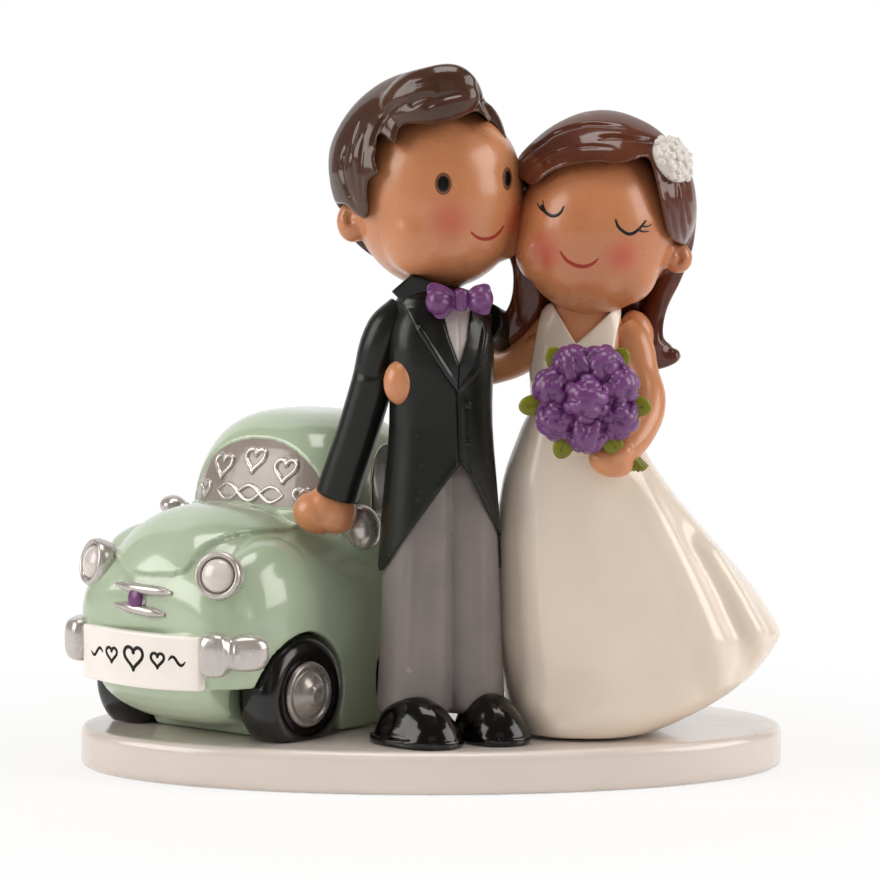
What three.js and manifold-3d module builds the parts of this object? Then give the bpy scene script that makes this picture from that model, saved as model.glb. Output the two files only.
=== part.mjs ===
// Wedding cake topper: a cast and painted resin couple beside a small round car on an oval plate.
// Millimetres, +Z up, origin on the ground under the middle of the plate; the couple and the car face -Y.
import * as THREE from 'three';
import { mergeVertices } from 'three/addons/utils/BufferGeometryUtils.js';
import Module from 'manifold-3d';

const wasm = await Module();
wasm.setup();

// Shared fits
const fit = {
  gap: 0.3,        // between any two pieces that seat on or against each other
  overrun: 6,      // how far a cutting tool runs past what it cuts
};

const degrees = (angle) => THREE.MathUtils.degToRad(angle);
const lerp = THREE.MathUtils.lerp;

// Driving sizes of the plate
const plate = { length: 160, depth: 88, thickness: 9.6, edgeRound: 1.6 };
const ground = plate.thickness + fit.gap;   // height at which everything stands

// Driving sizes of the car, in its own frame: +X its left side, -Y its nose, z = 0 on the plate
const car = { x: -48.2, y: -8, yaw: degrees(-40) };
const body = { length: 78, width: 53, beltHeight: 48, nose: 24.4, squareness: 2.8 };
const chin = { halfWidth: 16.6, height: 12.5 };   // what reaches down in front of the front wheels
const cabin = {
  length: 45, width: 51, height: 26.8, ahead: 21.8, floor: 43.5, squareness: 3.1,
  roofSquareness: 2.15,
};
const hood = {
  length: 47, width: 37, rise: 21, middleY: -1, middleZ: 29.6, edgeHeight: 38.4, squareness: 2.4,
};
const fender = { length: 35, width: 19, height: 37, outset: 18, middleZ: 26.4 };
const axle = { frontY: 0, wheelbaseShare: 0.436 };   // the wheelbase is a share of the body's length
const tyre = { radius: 12, width: 12, inset: 15.6, shoulder: 2.6, archGap: 0.5 };
const hubcap = { radius: 7.6, dome: 2.2, rim: 0.9, bossRadius: 2.3, bossHeight: 0.9, sink: 0.8 };
const lamp = {
  radius: 5.7, lensRadius: 4.3, depth: 4.6, lensDome: 1.4, rimRound: 0.8,
  x: 19, y: -20.6, z: 38, toeOut: degrees(22), tiltUp: degrees(12), socketGap: 0.3,
};
const numberPlate = {
  width: 36, height: 11.2, thickness: 1.6, z: 18.8, y: -26.2, bow: 2.2, cornerRound: 0.8,
};
const bumper = {
  guardWidth: 7.6, guardHeight: 10.2, guardDepth: 4.4, guardTurn: degrees(22), guardSquareness: 3,
  endWidth: 9.2, endHeight: 7.4, endDepth: 3.6, endTurn: degrees(48), endSquareness: 2.8, z: 20.2,
};
const badge = {
  width: 14.6, height: 6.4, thickness: 1.1, z: 31.6, y: -24.9, barHeight: 1.7, barSquareness: 2.3,
  ovalWidth: 3.4, ovalHeight: 4.6, stoneWidth: 2.4, stoneHeight: 3.6, stoneRise: 0.6,
};
const mirror = {
  width: 7.4, depth: 6.4, height: 9.6, x: 25.2, z: 45.4, behind: 9.9, farBehind: 5.5,
  turn: degrees(-20),
};
const windscreen = { width: 40, height: 16, floor: 49, pane: 1.5 };
const sideWindow = { length: 22, height: 14.6, floor: 48.6, behind: 4.4 };
const rearWindow = { width: 26, height: 11, floor: 52 };
const tailLamp = { radius: 2.9, depth: 3, x: 16, z: 29, sink: 1.2, socketGap: 0.3 };
const rearBumper = { width: 40, height: 6.4, thickness: 2.4, bow: -2.8, behind: 0.4, z: 17.5, round: 0.8 };

// Where the car's parts stand along it, told from the end of its tail
const tailY = body.length - body.nose;
const cabinY = tailY - cabin.ahead;
const rearAxleY = axle.frontY + body.length * axle.wheelbaseShare;

// Driving sizes of the groom; his trunk stands in a frame turned towards the bride
const groom = { x: 2.2, y: -20.4, yaw: degrees(20) };
const shoe = {
  length: 23, width: 14.6, height: 10.4, spread: 8.7, forward: 8, soleHeight: 1.5, soleReach: 0.5,
  squareness: 2.2,
};
const shoeTurns = { right: degrees(26), left: degrees(6) };
const trousers = { height: 66, legWidth: 15.6, legDepth: 17.4, spread: 5.9, squareness: 2.3 };
const coat = {
  bottom: 35.6, height: 63, width: 28, depth: 21.4, squareness: 2.4, cutawayDepth: 13, sides: 20,
};
const lapel = { thickness: 0.9, apexZ: 77.6, topZ: 99, outerHalfWidth: 10.6 };
const shirt = { thickness: 0.5, apexZ: 83.4, topZ: 98, halfWidth: 4 };
const coatButton = { radius: 1, rise: 0.5, x: 1.3, upperZ: 74, lowerZ: 66.2 };
const bowTie = {
  wingWidth: 7, wingHeight: 8, wingDepth: 4.4, pinch: 0.45, x: 0.6, y: -8.2, z: 97.6, spread: 4.3,
};
const knot = { width: 3.4, depth: 4.4, height: 5.2, y: -10.2 };
const sleeve = { radius: 4.7, cuffRadius: 5.1 };
const farShoulder = { x: 11, y: -10.4, z: 97 };
const shoulder = { x: -6.2, y: -19.4, z: 103.4 };
const cuff = { across: 2.8, back: -1.4, up: 3.4 };   // from the middle of his hand
// His near hand lies on the car and is placed in the car's frame
const groomHand = {
  length: 13, width: 10.4, height: 9.8, x: 21.8, ahead: 20.1, z: 50.1,
  tilt: degrees(-16), thumbTilt: degrees(-60), squareness: 2.2, around: 12,
};
const groomFarHand = { length: 7.8, width: 7.6, height: 10.4, x: 46.2, y: -8.6, z: 99.8, squareness: 2.2 };

// Driving sizes of the groom's head, in a frame turned and tilted with it, with its face towards -Y
const groomHead = {
  x: 1.4, y: -13.6, z: 130.6, width: 38.6, depth: 39, height: 42, turn: degrees(34),
  lean: degrees(-7), squareness: 2.2,
};
const groomNeck = { radius: 4.6, reach: 25.4, lean: 3 };
const groomEar = { width: 6.6, depth: 6.6, height: 9.4, out: 17.8, y: 7.4, z: -3.6 };
const groomHair = {
  width: 48, depth: 46, height: 46.6, offsetX: -1.2, offsetY: 2.1, offsetZ: 5.6, faceFrontY: -15.4,
  faceBackY: 1.6,
};
const rolls = { upperRadius: 5.4, lowerRadius: 3.9, sideRadius: 3.6 };   // how thick the swept locks are
const frontView = degrees(-2.6);   // how far the heads are looked down on from the front

// Driving sizes of the bride
const skirt = {
  width: 63.4, depth: 47, height: 74.4, left: 15.2, front: -31, squareness: 2.2, folds: 18,
  foldDepth: 0.044, foldSide: degrees(-38), sides: 72,
};
const bodice = {
  width: 21.4, depth: 16, height: 32.8, x: 32.8, y: -13.6, floor: 74.8, squareness: 2.3,
  vWidth: 15.6, vRise: 23.1, strapSpan: 17.8, strapFoot: 18,
};
const chest = { width: 21, depth: 12.6, height: 29, x: 33.4, y: -12.9, floor: 80, squareness: 2.1 };
const shoulders = { width: 24.4, depth: 10, height: 8, x: 33.4, y: -12.4, z: 97.6 };
const brideArm = { radius: 3.8, wristRadius: 3.2 };
const brideShoulder = { x: 44.6, y: -13.4, z: 98.4 };
const brideFarShoulder = { x: 23.6, y: -12, z: 96.6 };
const brideHand = { length: 10.4, width: 7.6, height: 7.6, x: 40, y: -28.6, z: 72 };
const brideFarHand = { length: 7, width: 6, height: 10.4, alongShare: 0.355, across: 3.8, back: 0.6 };   // along his sleeve

// Driving sizes of the bride's head, framed as the groom's is
const brideHead = {
  x: 36.8, y: -14.6, z: 123.6, width: 35.4, depth: 36, height: 39.4, turn: degrees(-5),
  lean: degrees(13), squareness: 2.15,
};
const brideEar = { width: 6.4, depth: 5.4, height: 7, out: 18.4, farOut: 16.4, y: 0.8, z: -2.8 };
const brideHair = { width: 42.8, depth: 43, height: 41.6, offsetX: 1.7, offsetY: 3.1, offsetZ: 5.9,
  faceFrontY: -14.4, faceBackY: 2.6, lockRadius: 4.8, cheekGap: 0.9 };
const curtain = { topZ: 122, tipZ: 93.6, width: 33, depth: 12, x: 38.4, y: 1.4, squareness: 2.4 };
const clip = {
  flowerRadius: 2.3, petalRadius: 1.1, thickness: 3, x: 53, y: -23.4, z: 138.2, turn: degrees(50),
  rise: degrees(26), spacing: 3.2,
};

// Driving sizes of the bouquet; its stems run back under the bride's hand
const bouquet = {
  x: 34.4, y: -31.6, z: 84.4, bloomRadius: 4.1, ringRadius: 8.3, ringBack: 2.4, tilt: degrees(-14),
  blooms: 7,
};
const leaf = { length: 6.6, width: 5, thickness: 1.7, radius: 12, back: 4.4, count: 6 };
const stem = { radius: 2.1, endRadius: 3, length: 20, heartRadius: 8.6, heartBack: 5.4 };

// Paint colours and finishes
const paint = (colour, roughness, metalness = 0) => new THREE.MeshStandardMaterial({ color: colour, roughness, metalness });
const paints = {
  plateWhite: paint(0xe9e1dd, 0.35),
  mintEnamel: paint(0xa9c3a0, 0.22),
  glassGrey: paint(0x8f8784, 0.25),
  glassDark: paint(0x565553, 0.2),
  silver: paint(0xb9b4b3, 0.28, 0.75),
  lensWhite: paint(0xd8d0cd, 0.2),
  plateCream: paint(0xded5d1, 0.35),
  tyreBlack: paint(0x14100f, 0.22),
  violet: paint(0x7b4b93, 0.35),
  lampRed: paint(0x9c2a26, 0.25),
  coatBlack: paint(0x262a27, 0.45),
  lapelBlack: paint(0x1b1e1c, 0.4),
  trouserGrey: paint(0x8b8483, 0.5),
  shirtGrey: paint(0xc4bbba, 0.5),
  shoeBlack: paint(0x100c0b, 0.12),
  skin: paint(0xc98f68, 0.4),
  brownHair: paint(0x5a4238, 0.25),
  chestnutHair: paint(0x5c3826, 0.25),
  ivory: paint(0xe4dacd, 0.35),
  pearl: paint(0xe6e0da, 0.3),
  leafGreen: paint(0x7f8f22, 0.35),
};

// Solids and geometries
function solid(geometry) {
  const bare = new THREE.BufferGeometry();
  const source = geometry.index ? geometry.toNonIndexed() : geometry;
  bare.setAttribute('position', source.getAttribute('position').clone());
  const merged = mergeVertices(bare, 1e-4);
  return new wasm.Manifold(new wasm.Mesh({
    numProp: 3,
    vertProperties: new Float32Array(merged.attributes.position.array),
    triVerts: new Uint32Array(merged.index.array),
  }));
}

function geometryOf(shape) {
  const mesh = shape.getMesh();
  const geometry = new THREE.BufferGeometry();
  const points = new Float32Array(mesh.numVert * 3);
  for (let i = 0; i < mesh.numVert; i++) {
    points.set(mesh.vertProperties.subarray(i * mesh.numProp, i * mesh.numProp + 3), i * 3);
  }
  geometry.setAttribute('position', new THREE.BufferAttribute(points, 3));
  geometry.setIndex(new THREE.BufferAttribute(new Uint32Array(mesh.triVerts), 1));
  geometry.computeVertexNormals();
  return geometry;
}

const point = (x, y, z) => new THREE.Vector3(x, y, z);
const joined = (...shapes) => shapes.reduce((whole, shape) => whole.add(shape));

// The same form with every facet moved out by a distance, its corners far enough to keep the facets clear
function grown(geometry, distance) {
  const bare = new THREE.BufferGeometry();
  const source = geometry.index ? geometry.toNonIndexed() : geometry;
  bare.setAttribute('position', source.getAttribute('position').clone());
  const merged = mergeVertices(bare, 1e-4);
  const { position } = merged.attributes;
  const places = [...Array(position.count).keys()].map((i) => point(position.getX(i), position.getY(i), position.getZ(i)));
  const facets = places.map(() => []);
  for (let i = 0; i < merged.index.count; i += 3) {
    const corners = [0, 1, 2].map((step) => merged.index.getX(i + step));
    const normal = new THREE.Triangle(...corners.map((corner) => places[corner])).getNormal(point(0, 0, 0));
    corners.forEach((corner, step) => {
      const toNext = places[corners[(step + 1) % 3]].clone().sub(places[corner]);
      const toLast = places[corners[(step + 2) % 3]].clone().sub(places[corner]);
      facets[corner].push([normal, toNext.angleTo(toLast)]);
    });
  }
  places.forEach((place, i) => {
    const outward = facets[i].reduce((sum, [normal, angle]) => sum.addScaledVector(normal, angle), point(0, 0, 0)).normalize();
    const closest = Math.min(...facets[i].map(([normal]) => normal.dot(outward)));
    const moved = place.clone().addScaledVector(outward, distance / Math.max(closest, 0.4));
    position.setXYZ(i, moved.x, moved.y, moved.z);
  });
  return merged;
}

// A ball with its own width, depth and height; squareness 2 is an ellipsoid and more is boxier
function ball({ width, depth, height, squareness = 2, upright = squareness }, around = 16, up = 10) {
  const geometry = new THREE.SphereGeometry(1, around, up).rotateX(Math.PI / 2);
  const { position } = geometry.attributes;
  const power = (value, square) => Math.sign(value) * Math.abs(value) ** (2 / square);
  for (let i = 0; i < position.count; i++) {
    position.setXYZ(
      i,
      power(position.getX(i), squareness) * width / 2,
      power(position.getY(i), squareness) * depth / 2,
      power(position.getZ(i), upright) * height / 2,
    );
  }
  return geometry;
}

// A closed skin through rings of points, each ring listed the same way round
function skin(rings) {
  const around = rings[0].length;
  const points = [];
  const faces = [];
  rings.forEach((ring) => ring.forEach((point) => points.push(point.x, point.y, point.z)));
  for (let row = 0; row < rings.length - 1; row++) {
    for (let i = 0; i < around; i++) {
      const a = row * around + i;
      const b = row * around + (i + 1) % around;
      faces.push(a, b, a + around, b, b + around, a + around);
    }
  }
  [[rings[0], 0, true], [rings[rings.length - 1], (rings.length - 1) * around, false]].forEach(([ring, start, first]) => {
    const middle = ring.reduce((sum, point) => sum.add(point), new THREE.Vector3()).divideScalar(around);
    const centre = points.length / 3;
    points.push(middle.x, middle.y, middle.z);
    for (let i = 0; i < around; i++) {
      const a = start + i;
      const b = start + (i + 1) % around;
      faces.push(...(first ? [b, a, centre] : [a, b, centre]));
    }
  });
  const geometry = new THREE.BufferGeometry();
  geometry.setAttribute('position', new THREE.Float32BufferAttribute(points, 3));
  geometry.setIndex(faces);
  return geometry;
}

// Rows of numbers made finer, along a smooth curve through each column
function smoothRows(rows, steps) {
  const fine = [];
  const at = (row, column) => rows[Math.min(Math.max(row, 0), rows.length - 1)][column];
  for (let row = 0; row < rows.length - 1; row++) {
    for (let step = 0; step < steps; step++) {
      const t = step / steps;
      fine.push(rows[row].map((_, column) => {
        const [a, b, c, d] = [-1, 0, 1, 2].map((shift) => at(row + shift, column));
        const slopeIn = (c - a) / 2;
        const slopeOut = (d - b) / 2;
        const t2 = t * t;
        const t3 = t2 * t;
        return (2 * t3 - 3 * t2 + 1) * b + (t3 - 2 * t2 + t) * slopeIn + (3 * t2 - 2 * t3) * c + (t3 - t2) * slopeOut;
      }));
    }
  }
  fine.push(rows[rows.length - 1]);
  return fine;
}

// One level ring of a standing form
function levelRing(x, y, z, halfWidth, halfDepth, squareness, around, ripple = () => 0) {
  const ring = [];
  for (let i = 0; i < around; i++) {
    const angle = i / around * Math.PI * 2;
    const power = (value) => Math.sign(value) * Math.abs(value) ** (2 / squareness);
    const swell = 1 + ripple(angle);
    ring.push(new THREE.Vector3(
      x + power(Math.cos(angle)) * halfWidth * swell,
      y + power(Math.sin(angle)) * halfDepth * swell,
      z,
    ));
  }
  return ring;
}

// A limb: round sections of changing radius along a smooth path
function limb(path, radii, around = 12, steps = 10) {
  const curve = new THREE.CatmullRomCurve3(path);
  const rings = [];
  const up = new THREE.Vector3(0, 1, 0.2).normalize();
  for (let step = 0; step <= steps; step++) {
    const t = step / steps;
    const place = t * (radii.length - 1);
    const index = Math.min(Math.floor(place), radii.length - 2);
    const radius = lerp(radii[index], radii[index + 1], place - index);
    const centre = curve.getPoint(t);
    const along = curve.getTangent(t);
    const side = new THREE.Vector3().crossVectors(up, along).normalize();
    const over = new THREE.Vector3().crossVectors(along, side).normalize();
    const ring = [];
    for (let i = 0; i < around; i++) {
      const angle = i / around * Math.PI * 2;
      ring.push(centre.clone()
        .addScaledVector(side, Math.cos(angle) * radius)
        .addScaledVector(over, Math.sin(angle) * radius));
    }
    rings.push(ring);
  }
  return skin(rings);
}

// A straight prism from an outline in the XZ plane, running from one y to another
function prismAlongY(outline, fromY, toY, curveSegments = 9) {
  const geometry = new THREE.ExtrudeGeometry(outline, { depth: toY - fromY, bevelEnabled: false, curveSegments });
  return geometry.rotateX(Math.PI / 2).translate(0, toY, 0);
}

function outlineOf(corners) {
  const outline = new THREE.Shape();
  outline.moveTo(...corners[0]);
  corners.slice(1).forEach((corner) => outline.lineTo(...corner));
  return outline;
}

// An arch: a flat sill with a half oval over it
function archOutline(width, height, sill) {
  const outline = new THREE.Shape();
  outline.moveTo(-width / 2, sill);
  outline.lineTo(width / 2, sill);
  outline.absellipse(0, sill, width / 2, height, 0, Math.PI, false, 0);
  return outline;
}

// The scene and its frames
const topper = new THREE.Group();

function frame(parent, x, y, z, turn = 0, lean = 0) {
  const group = new THREE.Group();
  group.position.set(x, y, z);
  group.rotation.set(0, lean, turn, 'YZX');
  parent.add(group);
  return group;
}

const carFrame = frame(topper, car.x, car.y, ground, car.yaw);
const groomFrame = frame(topper, groom.x, groom.y, ground, groom.yaw);
const groomHeadFrame = frame(topper, groomHead.x, groomHead.y, groomHead.z, groomHead.turn, groomHead.lean);
const brideHeadFrame = frame(topper, brideHead.x, brideHead.y, brideHead.z, brideHead.turn, brideHead.lean);

// A neighbour's forms, grown by the seat gap, in the frame of the piece that they cut
function neighbour(mesh, host) {
  topper.updateMatrixWorld(true);
  const toHost = host.matrixWorld.clone().invert().multiply(mesh.matrixWorld);
  return joined(...mesh.userData.forms.map((form) => solid(grown(form, fit.gap).applyMatrix4(toHost))));
}

const asGeometry = (form) => (form instanceof THREE.BufferGeometry ? form : geometryOf(form));

// Puts a piece in its frame, joined from its forms and cut clear of the neighbours that it seats against
function place(name, host, forms, material, neighbours = []) {
  const geometries = [forms].flat().map(asGeometry);
  const whole = joined(...geometries.map(solid));
  const cut = neighbours.reduce((shape, mesh) => shape.subtract(neighbour(mesh, host)), whole);
  const mesh = new THREE.Mesh(geometryOf(cut), material);
  mesh.name = name;
  mesh.userData.forms = geometries;
  host.add(mesh);
  return mesh;
}

// Plate
function plateForm() {
  const outline = new THREE.Shape();
  const inset = plate.edgeRound;
  outline.absellipse(0, 0, plate.length / 2 - inset, plate.depth / 2 - inset, 0, Math.PI * 2, false, 0);
  return new THREE.ExtrudeGeometry(outline, {
    depth: plate.thickness - 2 * inset,
    bevelEnabled: true,
    bevelThickness: inset,
    bevelSize: inset,
    bevelSegments: 2,
    curveSegments: 20,
  }).translate(0, 0, inset);
}

place('base_plate', topper, plateForm(), paints.plateWhite);

// Car shell
// Each row: share of the length from the nose, of the half width, and of the belt height at the sill and the top
const bodyShares = [
  [0, 0.5, 0.34, 0.64],
  [0.012, 0.7, 0.26, 0.74],
  [0.045, 0.85, 0.2, 0.82],
  [0.12, 0.93, 0.13, 0.88],
  [0.2, 0.97, 0.06, 0.92],
  [0.28, 0.99, 0, 0.95],
  [0.5, 1, 0, 1],
  [0.75, 1, 0, 1],
  [0.88, 0.95, 0.04, 0.93],
  [0.95, 0.85, 0.12, 0.83],
  [0.985, 0.7, 0.2, 0.72],
  [1, 0.5, 0.28, 0.62],
];

function bodyForm() {
  const rings = bodyShares.map(([along, across, low, high]) => {
    const y = along * body.length - body.nose;
    const ring = levelRing(
      0, (low + high) / 2 * body.beltHeight, 0,
      across * body.width / 2, (high - low) / 2 * body.beltHeight, body.squareness, 16,
    );
    return ring.map((corner) => point(corner.x, y, corner.y)).reverse();
  });
  return skin(rings);
}

function cabinForm(offset = 0) {
  return ball({
    width: cabin.width + 2 * offset,
    depth: cabin.length + 2 * offset,
    height: 2 * (cabin.height + offset),
    squareness: cabin.squareness,
    upright: cabin.roofSquareness,
  }, 20, 12).translate(0, cabinY, cabin.floor);
}

function fenderForm(side, middleY) {
  return ball({ width: fender.width, depth: fender.length, height: fender.height }, 10, 8)
    .translate(side * fender.outset, middleY, fender.middleZ);
}

function hoodForm() {
  const dome = ball({ width: hood.width, depth: hood.length, height: 2 * hood.rise, squareness: hood.squareness }, 14, 10)
    .translate(0, hood.middleY, hood.middleZ);
  const above = new THREE.BoxGeometry(2 * hood.width, 2 * hood.length, hood.rise)
    .translate(0, hood.middleY, hood.edgeHeight + hood.rise / 2);
  return solid(dome).intersect(solid(above));
}

const windscreenOutline = (extra) => archOutline(
  windscreen.width + 2 * extra, windscreen.height + extra, windscreen.floor - extra);
const rearOutline = (extra) => archOutline(
  rearWindow.width + 2 * extra, rearWindow.height + extra, rearWindow.floor - extra);
const sideOutline = (extra) => archOutline(
  sideWindow.length + 2 * extra, sideWindow.height + extra, sideWindow.floor - extra);

// The straight tool of each window opening, larger all round by the extra
function windowTool(which, extra) {
  const reach = cabin.length;
  if (which === 'front') return solid(prismAlongY(windscreenOutline(extra), cabinY - reach, cabinY));
  if (which === 'rear') return solid(prismAlongY(rearOutline(extra), cabinY, cabinY + reach));
  const side = which === 'left' ? 1 : -1;
  const tool = prismAlongY(sideOutline(extra), 0, reach).rotateZ(side * -Math.PI / 2);
  return solid(tool.translate(0, cabinY + sideWindow.behind, 0));
}

const sides = [['left', 1], ['right', -1]];
const glazing = ['front', 'rear', 'left', 'right'];
const paneBack = () => solid(cabinForm(-windscreen.pane - fit.gap));

function tyreForm() {
  const profile = [
    [0, -tyre.width / 2],
    [tyre.radius - tyre.shoulder, -tyre.width / 2],
    [tyre.radius, -tyre.width / 2 + tyre.shoulder],
    [tyre.radius, tyre.width / 2 - tyre.shoulder],
    [tyre.radius - tyre.shoulder * 0.3, tyre.width / 2 - tyre.shoulder * 0.3],
    [tyre.radius - tyre.shoulder, tyre.width / 2],
    [0, tyre.width / 2],
  ].map(([radius, along]) => new THREE.Vector2(radius, along));
  return new THREE.LatheGeometry(profile, 16).rotateZ(-Math.PI / 2);
}

function wheelArch(side, y) {
  const reach = tyre.width + fit.overrun;
  return new THREE.CylinderGeometry(tyre.radius + tyre.archGap, tyre.radius + tyre.archGap, reach, 16)
    .rotateZ(Math.PI / 2)
    .translate(side * (tyre.inset - fit.gap + reach / 2), y, tyre.radius);
}

// The nose's lower corners, which stay clear of the front wheels
function noseCorner(side) {
  const reach = body.nose + fit.overrun;
  return new THREE.BoxGeometry(body.width, reach, 2 * chin.height)
    .translate(side * (chin.halfWidth + body.width / 2), axle.frontY - reach / 2, 0);
}

function lampAxis(side) {
  return new THREE.Matrix4().makeTranslation(side * lamp.x, lamp.y, lamp.z)
    .multiply(new THREE.Matrix4().makeRotationZ(side * lamp.toeOut))
    .multiply(new THREE.Matrix4().makeRotationX(Math.PI / 2 - lamp.tiltUp));
}

const lathe = (profile, around = 16) => new THREE.LatheGeometry(
  profile.map(([radius, along]) => new THREE.Vector2(radius, along)), around).rotateX(Math.PI / 2);

function bezelForm(side) {
  const { radius, depth, rimRound, lensRadius } = lamp;
  return lathe([
    [0, -depth],
    [radius - rimRound, -depth],
    [radius, -rimRound],
    [radius - rimRound * 0.4, rimRound * 0.5],
    [lensRadius + rimRound * 0.6, rimRound * 0.8],
    [lensRadius + fit.gap, 0],
    [lensRadius + fit.gap, -rimRound],
    [0, -rimRound],
  ]).applyMatrix4(lampAxis(side));
}

function lensForm(side) {
  const seat = -lamp.rimRound + fit.gap;
  return lathe([
    [0, seat],
    [lamp.lensRadius, seat],
    [lamp.lensRadius, 0],
    [lamp.lensRadius * 0.8, lamp.lensDome * 0.5],
    [lamp.lensRadius * 0.45, lamp.lensDome * 0.88],
    [0, lamp.lensDome],
  ]).applyMatrix4(lampAxis(side));
}

function lampSocket(side) {
  const reach = lamp.depth + fit.overrun;
  return lathe([
    [0, -lamp.depth - lamp.socketGap],
    [lamp.radius + lamp.socketGap, -lamp.depth - lamp.socketGap],
    [lamp.radius + lamp.socketGap, reach],
    [0, reach],
  ]).applyMatrix4(lampAxis(side));
}

const placedTailLamp = (profile, side) => lathe(profile, 12).rotateX(-Math.PI / 2)
  .translate(side * tailLamp.x, tailY - tailLamp.sink, tailLamp.z);

function tailLampForm(side) {
  const { radius, depth } = tailLamp;
  return placedTailLamp([[0, -depth], [radius, -depth], [radius, 0], [radius * 0.7, depth * 0.35], [0, depth * 0.5]], side);
}

function tailLampSocket(side) {
  const wall = tailLamp.radius + tailLamp.socketGap;
  const seat = -tailLamp.depth - tailLamp.socketGap;
  return placedTailLamp([[0, seat], [wall, seat], [wall, fit.overrun], [0, fit.overrun]], side);
}

// A bowed band across the nose or the tail, following the shell's curve in plan
function bowedBlock(width, height, thickness, bow, y, z, round) {
  const outline = new THREE.Shape();
  const half = width / 2;
  outline.moveTo(-half, bow);
  outline.quadraticCurveTo(0, -bow, half, bow);
  outline.lineTo(half, bow + thickness);
  outline.quadraticCurveTo(0, thickness - bow, -half, bow + thickness);
  outline.closePath();
  return new THREE.ExtrudeGeometry(outline, {
    depth: height - 2 * round,
    bevelEnabled: true,
    bevelThickness: round,
    bevelSize: round * 0.5,
    bevelSegments: 1,
    curveSegments: 8,
  }).translate(0, y, z - height / 2 + round);
}

const shellForms = [
  bodyForm(),
  cabinForm(),
  geometryOf(hoodForm()),
  ...sides.flatMap(([, side]) => [
    fenderForm(side, axle.frontY - tyre.radius / 2),
    fenderForm(side, rearAxleY),
  ]),
];

const wheels = [];
sides.forEach(([label, side]) => [['front', axle.frontY], ['rear', rearAxleY]].forEach(([end, y]) => {
  const middleX = side * (tyre.inset + tyre.width / 2);
  const form = tyreForm().translate(middleX, y, tyre.radius);
  const seat = new THREE.CylinderGeometry(hubcap.radius + fit.gap, hubcap.radius + fit.gap, 2 * hubcap.sink, 12)
    .rotateZ(Math.PI / 2).translate(middleX + side * tyre.width / 2, y, tyre.radius);
  wheels.push(place(`tyre_${end}_${label}`, carFrame, solid(form).subtract(solid(seat)), paints.tyreBlack));
  const outer = side * (tyre.inset + tyre.width - hubcap.sink + fit.gap);
  const cap = lathe([
    [0, 0],
    [hubcap.radius, 0],
    [hubcap.radius, hubcap.rim],
    [hubcap.radius * 0.6, hubcap.dome * 0.85],
    [hubcap.bossRadius * 1.2, hubcap.dome],
    [hubcap.bossRadius, hubcap.dome + hubcap.bossHeight],
    [0, hubcap.dome + hubcap.bossHeight],
  ], 12).rotateY(side * Math.PI / 2).translate(outer, y, tyre.radius);
  place(`hubcap_${end}_${label}`, carFrame, cap, paints.silver);
}));

let shell = joined(...shellForms.map(solid));
sides.forEach(([, side]) => {
  [axle.frontY, rearAxleY].forEach((y) => { shell = shell.subtract(solid(wheelArch(side, y))); });
  shell = shell.subtract(solid(noseCorner(side)));
  shell = shell.subtract(solid(lampSocket(side)));
  shell = shell.subtract(solid(tailLampSocket(side)));
});
glazing.forEach((which) => { shell = shell.subtract(windowTool(which, fit.gap).subtract(paneBack())); });
const carBody = place('car_body', carFrame, shell, paints.mintEnamel);
carBody.userData.forms = shellForms;

// Each pane fills its opening, flush with the cabin's skin
const paneNames = {
  front: 'windscreen', rear: 'rear_window', left: 'side_window_left', right: 'side_window_right',
};
glazing.forEach((which) => {
  const pane = windowTool(which, 0)
    .intersect(solid(cabinForm()))
    .subtract(solid(cabinForm(-windscreen.pane)))
    .subtract(joined(solid(bodyForm()), hoodForm()).add(solid(grown(bodyForm(), fit.gap))));
  place(paneNames[which], carFrame, pane, which === 'front' ? paints.glassGrey : paints.glassDark);
});

sides.forEach(([label, side]) => {
  place(`headlamp_bezel_${label}`, carFrame, bezelForm(side), paints.silver);
  place(`headlamp_lens_${label}`, carFrame, lensForm(side), paints.lensWhite);
  place(`tail_lamp_${label}`, carFrame, tailLampForm(side), paints.lampRed);
});

const frontPlate = place('number_plate', carFrame, bowedBlock(
  numberPlate.width, numberPlate.height, numberPlate.thickness + fit.overrun, numberPlate.bow,
  numberPlate.y, numberPlate.z, numberPlate.cornerRound,
), paints.plateCream, [carBody]);

sides.forEach(([label, side]) => {
  const guard = ball({
    width: bumper.guardWidth, depth: 2 * bumper.guardDepth, height: bumper.guardHeight, squareness: bumper.guardSquareness,
  }, 10, 6).rotateZ(side * bumper.guardTurn).translate(
    side * (numberPlate.width / 2 + bumper.guardWidth * 0.42), numberPlate.y + bumper.guardDepth * 1.05, bumper.z);
  const end = ball({
    width: bumper.endWidth, depth: 2 * bumper.endDepth, height: bumper.endHeight, squareness: bumper.endSquareness,
  }, 8, 6).rotateZ(side * bumper.endTurn).translate(
    side * (numberPlate.width / 2 + bumper.guardWidth * 0.8 + bumper.endWidth * 0.18),
    numberPlate.y + bumper.guardDepth + bumper.endWidth * 0.62, bumper.z);
  place(`front_bumper_${label}`, carFrame, [guard, end], paints.silver, [carBody, frontPlate]);
});

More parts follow.
